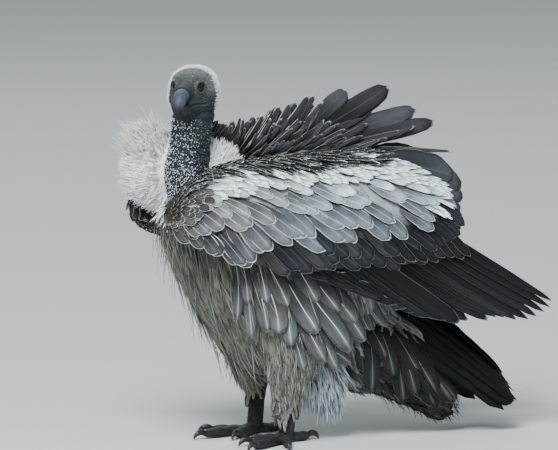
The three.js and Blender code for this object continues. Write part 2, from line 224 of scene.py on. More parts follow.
def toe(side, name):
    _, long, thick = TOES[name]
    r = thick - 0.6
    steps = [-2, 0.13, 0.3, 0.42, 0.56, 0.7, 0.84, 1.0]
    pads = [0, 0.6, -0.9, 0.7, -0.8, 0.6, -0.5, -1.8]
    spine = [on_toe(side, name, s * long if s > 0 else s, r + 0.3 + 0.4 * p) for s, p in zip(steps, pads)]
    half = [r + 0.8 * p for p in pads[:-1]] + [r * 0.55]
    rise = [r + 1.5] + [r * 0.92 + 0.6 * p for p in pads[1:-1]] + [r * 0.6]
    fall = [r - 0.2 + 0.4 * p for p in pads[:-1]] + [r * 0.6]
    return loft(spine, half, rise, fall, around=28, rings=36)


def wing_face(side, u, v, out=0.0):
    """The wing's outer face at u, from wrist to rear, and v, from lower edge to top, lifted by out."""
    u, v = np.broadcast_arrays(np.asarray(u, float), np.asarray(v, float))
    top, foot = spline(WING_TOP, u), spline(WING_FOOT, u)
    w = v[..., None]
    bulge = 26  # how far the middle of the wing stands out
    swell = (bulge * 4 * v * (1 - v) * np.minimum(1, u / 0.12))[..., None]
    place = foot * (1 - w) + top * w + swell * np.array([0, -1, 0.25])
    place = place + np.array([0, -1.0, 0.2]) * np.asarray(out)[..., None]
    return place * np.array([1, -side, 1]) + WING_SHIFT[side]


def wing_shell(side, inset):
    """The wing's solid, between its outer face and an inner one."""
    columns, rows = 60, 22
    front_depth, rear_depth, least = 40, 13, 2.5
    u, v = np.meshgrid(np.linspace(0.004, 0.985, columns), np.linspace(0.03, 0.97, rows), indexing="ij")
    outer = wing_face(side, u, v, -inset)
    arc = np.sqrt(np.clip(np.sin(math.pi * v) * np.minimum(1, u / 0.1), 0, 1))
    depth = (front_depth * (1 - u) + rear_depth * u) * (0.3 + 0.7 * arc) - inset - 1
    inner = outer - np.array([0, side, 0]) * np.maximum(depth, least)[..., None]
    verts = np.vstack([outer.reshape(-1, 3), inner.reshape(-1, 3)])
    total = columns * rows
    faces = []
    for quad in grid_quads(columns, rows):
        faces += [quad, tuple(total + k for k in reversed(quad))]
    rim = [i * rows for i in range(columns)] + [(columns - 1) * rows + j for j in range(1, rows)]
    rim += [i * rows + rows - 1 for i in range(columns - 2, -1, -1)] + list(range(rows - 2, 0, -1))
    faces += [(b, a, total + a, total + b) for a, b in zip(rim, rim[1:] + rim[:1])]
    return verts, faces


# ---------------------------------------------------------------- meshes and materials
def new_mesh(name, verts, faces):
    mesh = bpy.data.meshes.new(name)
    mesh.from_pydata([tuple(v) for v in verts], [], faces)
    mesh.update()
    return mesh


def new_object(name, mesh):
    obj = bpy.data.objects.new(name, mesh)
    bpy.context.scene.collection.objects.link(obj)
    mesh.polygons.foreach_set("use_smooth", np.ones(len(mesh.polygons), bool))
    return obj


def vectors(mesh, key="co"):
    """The places of a mesh's vertices, or their normals."""
    out = np.empty(len(mesh.vertices) * 3)
    mesh.vertices.foreach_get(key, out)
    return out.reshape(-1, 3)


def move_to(mesh, points):
    mesh.vertices.foreach_set("co", np.asarray(points, np.float32).ravel())
    mesh.update()


def relax(mesh, rounds, where=1.0):
    """Moves each vertex half the way to the middle of its neighbours, or less where told."""
    edges = np.empty(len(mesh.edges) * 2, int)
    mesh.edges.foreach_get("vertices", edges)
    a, b = edges[0::2], edges[1::2]
    p = vectors(mesh)
    count = np.bincount(edges, minlength=len(p)).astype(float)[:, None]
    share = 0.5 * np.reshape(where, (-1, 1))
    for _ in range(rounds):
        total = np.stack([np.bincount(a, p[b, k], len(p)) + np.bincount(b, p[a, k],
                         len(p)) for k in range(3)], 1)
        p = p + share * (total / count - p)
    move_to(mesh, p)


def put(mesh, name, kind, values):
    layer = mesh.attributes.new(name, kind, "POINT")
    key = {"FLOAT": "value", "FLOAT_COLOR": "color", "FLOAT_VECTOR": "vector"}[kind]
    values = np.asarray(values, np.float32)
    if kind == "FLOAT_COLOR":
        values = np.hstack([values, np.ones((len(values), 1), np.float32)])
    layer.data.foreach_set(key, values.ravel())


class Nodes:
    """A short way to write a material's nodes."""

    def __init__(self, name, roughness=0.6, specular=0.4, **sockets):
        self.material = bpy.data.materials.new(name)
        self.material.use_nodes = True
        self.tree = self.material.node_tree
        self.shader = self.tree.nodes["Principled BSDF"]
        self.shader.inputs["Roughness"].default_value = roughness
        self.shader.inputs["Specular IOR Level"].default_value = specular
        for socket, value in sockets.items():
            self.shader.inputs[socket.replace("_", " ")].default_value = value

    def link(self, value, socket):
        if isinstance(value, bpy.types.NodeSocket):
            self.tree.links.new(value, socket)
        elif isinstance(value, (tuple, list)) and len(value) == 3 and len(socket.default_value) == 4:
            socket.default_value = (*value, 1)
        else:
            socket.default_value = value

    def add(self, kind, inputs=(), output=0, **settings):
        node = self.tree.nodes.new(kind)
        for key, value in settings.items():
            setattr(node, key, value)
        for key, value in dict(inputs).items():
            self.link(value, node.inputs[key])
        return node.outputs[output]

    def place(self):
        return self.add("ShaderNodeTexCoord", output=3)

    def attribute(self, name, output=0):
        return self.add("ShaderNodeAttribute", output=output, attribute_name=name)

    def split(self, name):
        node = self.tree.nodes.new("ShaderNodeSeparateXYZ")
        self.link(self.attribute(name, 1), node.inputs[0])
        return node

    def join(self, x, y, z):
        return self.add("ShaderNodeCombineXYZ", {0: x, 1: y, 2: z})

    def math(self, operation, a, b=0.0, c=0.0):
        return self.add("ShaderNodeMath", {0: a, 1: b, 2: c}, operation=operation)

    def times(self, a, b):
        return self.math("MULTIPLY", a, b)

    def plus(self, a, b):
        return self.math("ADD", a, b)

    def ramp(self, value, low, high, out_low=0.0, out_high=1.0):
        inputs = {"Value": value, "From Min": low, "From Max": high, "To Min": out_low, "To Max": out_high}
        return self.add("ShaderNodeMapRange", inputs, interpolation_type="SMOOTHSTEP")

    def mix(self, factor, a, b, blend="MIX"):
        return self.add("ShaderNodeMix", {0: factor, 6: a, 7: b}, output=2, data_type="RGBA",
                        blend_type=blend)

    def noise(self, vector, scale, detail=3.0, roughness=0.5):
        inputs = {"Vector": vector, "Scale": scale, "Detail": detail, "Roughness": roughness}
        return self.add("ShaderNodeTexNoise", inputs)

    def colour(self, value):
        self.link(value, self.shader.inputs["Base Color"])

    def bump(self, height, distance, strength):
        inputs = {"Height": height, "Distance": distance, "Strength": strength}
        self.link(self.add("ShaderNodeBump", inputs), self.shader.inputs["Normal"])

    def rough(self, value):
        self.link(value, self.shader.inputs["Roughness"])


def feather_material():
    """A vane: its own colour with barbs, a darker root that is partly its own colour and partly painted
    shadow of the feather lying over it, a lighter web, and a pale rim and shaft.
    """
    m = Nodes("feather_vane", roughness=0.62, specular=0.2)
    split = m.split("vane")
    signed = m.math("MULTIPLY_ADD", split.outputs[0], 2.0, -1.0)
    across = m.math("ABSOLUTE", signed)
    along, web = split.outputs[1], split.outputs[2]
    rim_width, shaft_width, seed = m.split("mark").outputs
    barb_line = m.math("MULTIPLY_ADD", across, -0.16, along)
    wide = m.times(split.outputs[0], 1.6)
    barb_place = m.join(wide, m.times(barb_line, 34.0), m.times(seed, 57.0))
    barbs = m.noise(barb_place, 1.6, 4.0, 0.62)
    cloud_place = m.join(wide, m.times(along, 2.2), m.times(seed, 31.0))
    cloud = m.noise(cloud_place, 2.2, 2.0, 0.5)
    shade = m.plus(m.ramp(barbs, 0.25, 0.75, 0.8, 1.2), m.ramp(cloud, 0.3, 0.7, -0.13, 0.13))
    # darker towards the root: partly the vane's own colour, partly painted shadow of the feather that lies
    # over it
    shade = m.times(shade, m.ramp(along, 0.4, 0.9, 0.46, 1.14))
    shade = m.times(shade, m.math("MULTIPLY_ADD", signed, web, 1.0))
    body = m.mix(1.0, m.attribute("base"), shade, "MULTIPLY")
    glow = m.times(m.ramp(across, 0.0, 0.4, 0.18, 0.0), m.ramp(along, 0.5, 0.95))
    body = m.mix(glow, body, m.attribute("shaft"))
    rim_start = m.times(rim_width, 0.45)
    tip_width = m.times(rim_width, 0.24)
    side_rim = m.ramp(m.math("SUBTRACT", 1.0, across), rim_start, rim_width, 1.0, 0.0)
    tip_rim = m.ramp(m.math("SUBTRACT", 1.0, along), m.times(tip_width, 0.4), tip_width, 1.0, 0.0)
    rim = m.times(m.math("MAXIMUM", side_rim, tip_rim), m.ramp(along, 0.15, 0.5, 0.2, 1.0))
    body = m.mix(rim, body, m.attribute("rim"))
    shaft = m.times(m.ramp(across, 0.0, shaft_width, 1.0, 0.0), m.ramp(along, 0.85, 1.0, 1.0, 0.0))
    body = m.mix(m.times(shaft, 0.85), body, m.attribute("shaft"))
    m.colour(body)
    height = m.plus(m.times(barbs, 0.7), shaft)
    m.bump(height, 0.0009, 0.55)
    return m.material


def down_material():
    """Down: one colour at the root and another at the tip."""
    m = Nodes("down", roughness=0.85, specular=0.12)
    split = m.split("vane")
    grow = m.ramp(split.outputs[1], 0.05, 0.75)
    body = m.mix(grow, m.attribute("base"), m.attribute("rim"))
    seed = m.split("mark").outputs[2]
    strand = m.join(m.times(split.outputs[0], 6.0), m.times(split.outputs[1], 1.4),
                    m.times(seed, 43.0))
    fine = m.noise(strand, 2.0, 3.0, 0.6)
    body = m.mix(1.0, body, m.ramp(fine, 0.25, 0.75, 0.8, 1.16), "MULTIPLY")
    m.colour(body)
    m.bump(fine, 0.0006, 0.5)
    return m.material


def skin_material():
    """Skin: painted colours, fine wrinkles on the head and neck, and scutes on the feet."""
    m = Nodes("skin", roughness=0.66, specular=0.35)
    place = m.place()
    base = m.attribute("paint")
    scales = m.attribute("scaly", 2)
    fine = m.noise(place, 900.0, 4.0, 0.6)
    mottle = m.noise(place, 130.0, 4.0, 0.6)
    scute = {"Vector": place, "Scale": 330.0, "Randomness": 0.8}
    cells = m.add("ShaderNodeTexVoronoi", scute, feature="DISTANCE_TO_EDGE")
    groove = m.ramp(cells, 0.0, 0.22)
    shade = m.times(m.ramp(mottle, 0.25, 0.75, 0.72, 1.28), m.ramp(fine, 0.3, 0.7, 0.86, 1.14))
    body = m.mix(1.0, base, shade, "MULTIPLY")
    # the scutes' colour: darker in the grooves between them and lighter on their tops
    scute_grooved = m.mix(1.0, body, m.ramp(groove, 0.0, 1.0, 0.35, 1.25), "MULTIPLY")
    m.colour(m.mix(scales, body, scute_grooved))
    height = m.plus(m.times(fine, 0.5), m.times(m.times(groove, scales), 1.6))
    height = m.plus(height, m.times(mottle, 0.9))
    m.bump(height, 0.0011, 0.7)
    m.rough(m.ramp(scales, 0.0, 1.0, 0.68, 0.5))
    return m.material


def horn_material(name, tip, middle, root, roughness):
    """Horn: layered growth, scuffed, with its colour painted from root to tip."""
    m = Nodes(name, roughness=roughness, specular=0.3)
    place = m.place()
    grow = m.attribute("grow", 2)
    body = m.mix(m.ramp(grow, 0.0, 0.45), root, middle)
    body = m.mix(m.ramp(grow, 0.55, 0.95), body, tip)
    scuff = m.noise(place, 420.0, 5.0, 0.65)
    wave = {"Vector": place, "Scale": 90.0, "Distortion": 6.0, "Detail": 3.0, "Detail Scale": 1.5}
    layers = m.add("ShaderNodeTexWave", wave, output=1, wave_type="BANDS", bands_direction="DIAGONAL")
    body = m.mix(1.0, body, m.ramp(scuff, 0.25, 0.75, 0.78, 1.2), "MULTIPLY")
    m.colour(body)
    m.rough(m.ramp(scuff, 0.3, 0.8, roughness - 0.1, roughness + 0.14))
    m.bump(m.plus(scuff, m.times(layers, 0.35)), 0.0004, 0.6)
    return m.material


def eye_material():
    """A dark iris round a black pupil, under a clear coat."""
    m = Nodes("eye", roughness=0.12, specular=0.2, Coat_Weight=0.3, Coat_Roughness=0.04)
    turn = m.attribute("iris", 2)
    place = m.place()
    fibre = m.noise(place, 700.0, 3.0, 0.6)
    iris = m.mix(m.ramp(fibre, 0.3, 0.7), (0.004, 0.003, 0.0025), (0.012, 0.008, 0.006))
    white = m.mix(m.ramp(turn, 0.62, 0.7), iris, (0.012, 0.011, 0.011))
    m.colour(m.mix(m.ramp(turn, 0.32, 0.37, 1.0, 0.0), white, (0.001, 0.001, 0.0012)))
    return m.material


FEATHER = feather_material()
DOWN = down_material()
SKIN = skin_material()
BILL = horn_material("bill_horn", (0.008, 0.009, 0.011), (0.038, 0.047, 0.067), (0.053, 0.065, 0.087), 0.55)
CERE_SKIN = horn_material("cere_skin", (0.085, 0.088, 0.085), (0.022, 0.025, 0.029), (0.003, 0.003, 0.004),
                          0.65)
CLAW_HORN = horn_material("claw_horn", (0.008, 0.008, 0.009), (0.016, 0.016, 0.018), (0.03, 0.03, 0.032),
                          0.35)
EYE = eye_material()


# ---------------------------------------------------------------- one skin under the coat
HEAD_DEPTH, NECK_DEPTH, RUFF_DEPTH, TRUNK_DEPTH, WING_DEPTH, THIGH_DEPTH = 2.2, 3.5, 9.0, 12.0, 6.0, 9.0
EYE_F, EYE_OUT, EYE_U, EYE_R = 21.5, 14.5, 10.0, 9.5
GAZE = unit(np.array([0.62, 0.785, 0.04]))  # where the left eye looks, forward, left and up
FORMS = {
    "head": skull(HEAD_DEPTH),
    "neck": neck(NECK_DEPTH),
    "ruff": ruff(RUFF_DEPTH),
    "trunk": hull(TRUNK, square=0.92, inset=TRUNK_DEPTH, around=56, rings=60),
    "vent": vent(12.0),
    "undertail": hull(UNDERTAIL, y=-20, inset=8.0),
}
for side, word in SIDES:
    FORMS["wing_" + word] = wing_shell(side, WING_DEPTH)
    FORMS["thigh_" + word] = thigh(side, THIGH_DEPTH)
    FORMS["shank_" + word] = shank(side)
    for name in TOES:
        FORMS[f"toe_{name}_{word}"] = toe(side, name)
FORM_NAMES = list(FORMS)


def join_forms():
    """All the forms as one mesh, and which form each face is of."""
    verts, faces, owner = [], [], []
    count = 0
    for k, (points, polygons) in enumerate(FORMS.values()):
        verts.append(points)
        faces += [tuple(i + count for i in face) for face in polygons]
        owner += [k] * len(polygons)
        count += len(points)
    return np.vstack(verts), faces, np.array(owner)


def subdivide(mesh, wanted):
    bm = bmesh.new()
    bm.from_mesh(mesh)
    bm.verts.ensure_lookup_table()
    edges = [e for e in bm.edges if wanted[e.verts[0].index] and wanted[e.verts[1].index]]
    bmesh.ops.subdivide_edges(bm, edges=edges, cuts=1, use_grid_fill=True)
    bm.to_mesh(mesh)
    bm.free()


def wobble(p, size, seed):
    """A smooth, repeatable unevenness from -1 to 1, of about this size in mm."""
    own, waves = np.random.default_rng(seed), 5
    total = np.zeros(len(p))
    for _ in range(waves):
        way = unit(own.normal(size=3)) * (2 * math.pi / (size * own.uniform(0.7, 1.5)))
        total += np.sin(p @ way + own.uniform(0, 6.28))
    return total / waves * 1.4


def bump_at(x, y, wide, high):
    return np.exp(-((x / wide) ** 2) - (y / high) ** 2)


def eye_place(q):
    """How far each head point is from the eye's axis, and how far along it from the eye's middle."""
    d = np.stack([q[:, 0] - EYE_F, np.abs(q[:, 1]) - EYE_OUT, q[:, 2] - EYE_U], 1)
    along = d @ GAZE
    return np.linalg.norm(d - along[:, None] * GAZE, axis=1), along


def eye_distance(q):
    away, along = eye_place(q)
    return np.where(along > -2, away, 99.0)


def sculpt_head(p, normal):
    """Lids, sockets, brows, cheeks, ears, mouth corners and wrinkles of the head."""
    q = in_head(p)
    f, l, u = q.T
    out = np.abs(l)
    beside = smooth(6, 13, out)
    push = 2.6 * bump_at(f - 21, u - 22, 13, 4.4) * beside
    push -= 1.6 * bump_at(f - 36, u - 8, 5, 7) * beside
    push += 1.6 * bump_at(f - 12, u + 12, 12, 8) * beside
    push += 1.4 * bump_at(f - 26, u + 20, 12, 5) * beside
    ear = np.hypot(f + 8, u + 2)
    push += (1.1 * np.exp(-(((ear - 6.5) / 2.2) ** 2)) - 2.8 * np.exp(-((ear / 4.2) ** 2))) * beside
    r = eye_distance(q)
    below = smooth(14, 4, u) * smooth(38, 30, f) * smooth(9.5, 11, r) * smooth(27, 17, r)
    push += 0.55 * np.cos(2 * math.pi * (r + 0.9 * wobble(p, 16, 3)) / 3.3) * below * beside
    fold = smooth(12, 22, u) * smooth(18, 27, f) * smooth(48, 40, f)
    push += 0.45 * np.sin(2 * math.pi * (f + 1.2 * wobble(p, 13, 4)) / 3.6) * fold
    gape = u + 13.0 + 0.05 * (f - 36) + 2.2 * smooth(34, 20, f)
    mouth = smooth(15, 21, f) * beside
    push -= 1.7 * np.exp(-((gape / 1.3) ** 2)) * mouth
    push += 0.8 * np.exp(-(((np.abs(gape) - 3) / 1.6) ** 2)) * mouth
    corner = np.hypot(f - 20, u + 14)
    push += 0.5 * np.cos(2 * math.pi * corner / 3.4) * smooth(3, 5, corner) * smooth(17, 9, corner) * beside
    push += 0.35 * wobble(p, 7, 5) + 0.25 * wobble(p, 3.5, 6)
    q = in_head(p + normal * push[:, None])
    away, along = eye_place(q)
    ball = np.sqrt(np.maximum(EYE_R**2 - away**2, 1))
    lid = spline([7.6, 8.6, 8.7, 8.0, 6.9, 6.2], (away - 5.9) / 6.4)
    target = np.where(away < 5.9, ball - 1.6, lid)
    hold = smooth(12.5, 8.8, away) * (along > -2)
    shift = (target - along) * hold
    q = q + shift[:, None] * GAZE * np.stack([np.ones_like(l), np.sign(q[:, 1]), np.ones_like(l)], 1)
    return q @ HEAD_AXES + HEAD_AT


def sculpt_neck(p, normal):
    """Loose rings of skin down the neck."""
    push = 0.9 * np.sin(2 * math.pi * (p[:, 2] + 4 * wobble(p, 46, 7)) / 12.5) + 0.6 * wobble(p, 9, 8)
    return p + normal * push[:, None]


def sculpt_foot(p, normal):
    """A slight unevenness on the toes and shanks, whose scutes are in the material."""
    push = 0.28 * wobble(p, 3.4, 9) + 0.3 * wobble(p, 6.5, 10)
    return p + normal * push[:, None]


def among(label, *words):
    """Which of these labels are of a form whose name starts with one of the words."""
    return np.array([name.startswith(words) for name in FORM_NAMES])[label]


def build_skin():
    verts, faces, owner = join_forms()
    tree = BVHTree.FromPolygons([tuple(v) for v in verts], faces)
    rough = new_object("skin_rough", new_mesh("skin_rough", verts, faces))
    remesh = rough.modifiers.new("voxels", "REMESH")
    remesh.mode = "VOXEL"
    remesh.voxel_size = 3.0  # mm
    bpy.context.view_layer.update()
    mesh = bpy.data.meshes.new_from_object(rough.evaluated_get(bpy.context.evaluated_depsgraph_get()))
    bpy.data.objects.remove(rough)

    def parts(points):
        """The nearest place on the forms to each point, and which form it is on."""
        found = [tree.find_nearest(Vector(p)) for p in points]
        return np.array([f[0] for f in found]), owner[np.array([f[2] for f in found])]

    _, label = parts(vectors(mesh))
    relax(mesh, 8, 1.0 - among(label, "toe"))
    subdivide(mesh, among(label, "head", "toe", "shank"))
    place, label = parts(vectors(mesh))
    hold = 0.9 * among(label, "head", "toe", "shank")[:, None]
    p = vectors(mesh)
    move_to(mesh, p * (1 - hold) + place * hold)
    relax(mesh, 3)
    subdivide(mesh, among(label, "head") & (in_head(vectors(mesh))[:, 0] > -30))
    relax(mesh, 2)
    _, label = parts(vectors(mesh))
    for words, sculpt in ((("head",), sculpt_head), (("neck",), sculpt_neck),
                          (("toe", "shank"), sculpt_foot)):
        mask = among(label, *words)
        p, n = vectors(mesh), vectors(mesh, "normal")
        p[mask] = sculpt(p[mask], n[mask])
        p[:, 2] = np.maximum(p[:, 2], FLOOR_GAP)
        move_to(mesh, p)
    return mesh, label


skin_mesh, skin_label = build_skin()


def srgb(r, g, b):
    """A colour as it looks, as the linear numbers that Blender takes."""
    c = np.array([r, g, b], float)
    return np.where(c <= 0.04045, c / 12.92, ((c + 0.055) / 1.055) ** 2.4)


SKIN_TONE = {  # the skin's colour under each form's coat, and on the bare parts; where a coat colour is halved, that is painted shade for the skin seen between feathers
    "head": srgb(0.34, 0.345, 0.335),
    "neck": srgb(0.12, 0.135, 0.165),
    "ruff": srgb(0.985, 0.99, 1.0),
    "trunk": srgb(0.6, 0.56, 0.49) * 0.55,
    "vent": srgb(0.8, 0.83, 0.86),
    "undertail": srgb(0.24, 0.21, 0.19) * 0.5,
    "wing": srgb(0.34, 0.32, 0.33) * 0.5,
    "thigh": srgb(0.72, 0.69, 0.62) * 0.5,
    "shank": srgb(0.15, 0.15, 0.16),
    "toe": srgb(0.15, 0.15, 0.16),
}
FACE, EYELID = srgb(0.125, 0.14, 0.155), srgb(0.17, 0.18, 0.195)
BACK, RUMP = srgb(0.4, 0.37, 0.35), srgb(0.9, 0.89, 0.87)


def skin_tone(p, label):
    """The skin carries the colours of the coat over it, under some coats darkened by half as painted shade
    where it shows between feathers, and the bare parts their own.
    """
    tone = np.zeros((len(p), 3))
    for word, colour in SKIN_TONE.items():
        tone[among(label, word)] = colour
    tone = mixed(tone, srgb(0.56, 0.56, 0.575), smooth(315, 345, p[:, 2]) * among(label, "wing"))
    # the back's colour halved: painted shade where the skin shows between feathers
    tone = mixed(tone, BACK * 0.5, smooth(300, 380, p[:, 2]) * among(label, "trunk"))
    q = in_head(p)
    low = smooth(8, -8, q[:, 2])
    bare = smooth(8 - 16 * low, 30 - 16 * low, q[:, 0]) * among(label, "head")
    ring = smooth(9.5, 7.5, eye_distance(q)) * among(label, "head")
    return mixed(mixed(tone, FACE, 0.8 * bare), EYELID, ring)


def dress_skin():
    p = vectors(skin_mesh)
    put(skin_mesh, "paint", "FLOAT_COLOR", skin_tone(p, skin_label))
    put(skin_mesh, "scaly", "FLOAT", among(skin_label, "toe", "shank").astype(float))
    move_to(skin_mesh, to_row(p))
    obj = new_object("skin", skin_mesh)
    skin_mesh.materials.append(SKIN)
    return obj


# The skin in millimetres, as triangles, for rooting feathers on it.
skin_mesh.calc_loop_triangles()
corners = np.empty(len(skin_mesh.loop_triangles) * 3, int)
skin_mesh.loop_triangles.foreach_get("vertices", corners)
corners = corners.reshape(-1, 3)
skin_points, skin_normals = vectors(skin_mesh), vectors(skin_mesh, "normal")
TRIANGLE = skin_points[corners]
TRIANGLE_NORMAL = skin_normals[corners]
TRIANGLE_MIDDLE = TRIANGLE.mean(1)
TRIANGLE_LABEL = skin_label[corners[:, 0]]
first_edge, second_edge = TRIANGLE[:, 1] - TRIANGLE[:, 0], TRIANGLE[:, 2] - TRIANGLE[:, 0]
TRIANGLE_AREA = np.linalg.norm(np.cross(first_edge, second_edge), axis=1) / 2
SKIN_TREE = BVHTree.FromPolygons([tuple(v) for v in skin_points], [tuple(c) for c in corners.tolist()])
skin = dress_skin()


def on(*words):
    """Which of the skin's triangles belong to these forms."""
    return among(TRIANGLE_LABEL, *words)


def roots(where, gap):
    """Root places about gap apart on the wanted triangles, and the skin's normals there."""
    tries = 2.4  # for each place that is wanted
    inside = np.flatnonzero(where)
    area = TRIANGLE_AREA[inside]
    count = int(area.sum() / gap**2 * tries)
    pick = rng.choice(inside, count, p=area / area.sum())
    a, b = np.sqrt(rng.random(count)), rng.random(count)
    share = np.stack([1 - a, a * (1 - b), a * b], 1)[..., None]
    place = (TRIANGLE[pick] * share).sum(1)
    normal = unit((TRIANGLE_NORMAL[pick] * share).sum(1))
    _, first = np.unique(np.floor(place / gap).astype(int), axis=0, return_index=True)
    first.sort()
    return place[first], normal[first]


# ---------------------------------------------------------------- feathers as solid mesh
SHAPES = {  # width along the feather, as a share of its widest, and how far its edges stop short of its tip
    "round": ([0.3, 0.78, 0.98, 1.0, 0.97, 0.8], 0.2),
    "long": ([0.35, 0.8, 0.97, 1.0, 0.99, 0.93, 0.66], 0.07),
    "covert": ([0.35, 0.74, 0.94, 1.0, 0.92, 0.5], 0.13),
    "strip": ([0.8, 0.95, 1.0, 1.0, 0.98, 0.88, 0.52], 0.06),
    "primary": ([0.3, 0.72, 0.92, 1.0, 0.94, 0.74, 0.34], 0.06),
    "raised": ([0.4, 0.8, 1.0, 0.97, 0.8, 0.46], 0.06),
    "lance": ([0.35, 0.9, 1.0, 0.82, 0.52, 0.16], 0.02),
    "tuft": ([0.8, 1.0, 0.75, 0.22], 0.06),
}


def template(rows, columns):
    """The faces of one closed vane, with each corner's place in its own cell of the bake map."""
    top = np.arange(rows * columns).reshape(rows, columns)
    low = top.copy()
    low[:, 1:-1] = rows * columns + np.arange(rows * (columns - 2)).reshape(rows, columns - 2)
    x, y = np.linspace(0, 1, columns), np.linspace(0.07, 0.93, rows)
    faces, places = [], []
    for i in range(rows - 1):
        for j in range(columns - 1):
            faces.append((top[i, j], top[i, j + 1], top[i + 1, j + 1], top[i + 1, j]))
            faces.append((low[i, j], low[i + 1, j], low[i + 1, j + 1], low[i, j + 1]))
            a, b = 0.03 + 0.45 * x[j], 0.03 + 0.45 * x[j + 1]
            places.append(((a, y[i]), (b, y[i]), (b, y[i + 1]), (a, y[i + 1])))
            a, b = a + 0.49, b + 0.49
            places.append(((a, y[i]), (a, y[i + 1]), (b, y[i + 1]), (b, y[i])))
    for i, edge, turn in ((0, 0.05, 1), (rows - 1, 0.95, -1)):
        for j in range(columns - 1):
            a, b = 0.03 + 0.45 * x[j], 0.03 + 0.45 * x[j + 1]
            outer, inner = y[i], edge - 0.03 * turn
            ring = [(top[i, j], (a, outer)), (low[i, j], (a, inner))]
            ring += [(low[i, j + 1], (b, inner)), (top[i, j + 1], (b, outer))]
            ring = ring[::turn]
            seen = [k for k, (v, _) in enumerate(ring) if v not in [w for w, _ in ring[:k]]]
            faces.append(tuple(ring[k][0] for k in seen))
            places.append(tuple(ring[k][1] for k in seen))
    return faces, places


TUFT_CELL = 0.003  # the side of a small tuft's cell on the bake map


def own_unwrap(points):
    """A cylindrical unwrap of the part of the skin that these roots stand on, round its own long axis."""
    middle = points.mean(0)
    centred = points - middle
    _, axes = np.linalg.eigh(centred.T @ centred)
    turn = np.arctan2(centred @ axes[:, 1], centred @ axes[:, 0]) / (2 * math.pi) + 0.5
    along = centred @ axes[:, 2]
    along = (along - along.min()) / max(np.ptp(along), 1e-6)
    return np.stack([0.006 + 0.985 * turn, 0.006 + 0.985 * along], 1)


Part = namedtuple("Part", "verts vane faces places mark tones small roots")


def put_on(obj, slot, *replaced):
    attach(obj, "root")
    if replaced:
        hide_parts(*replaced)


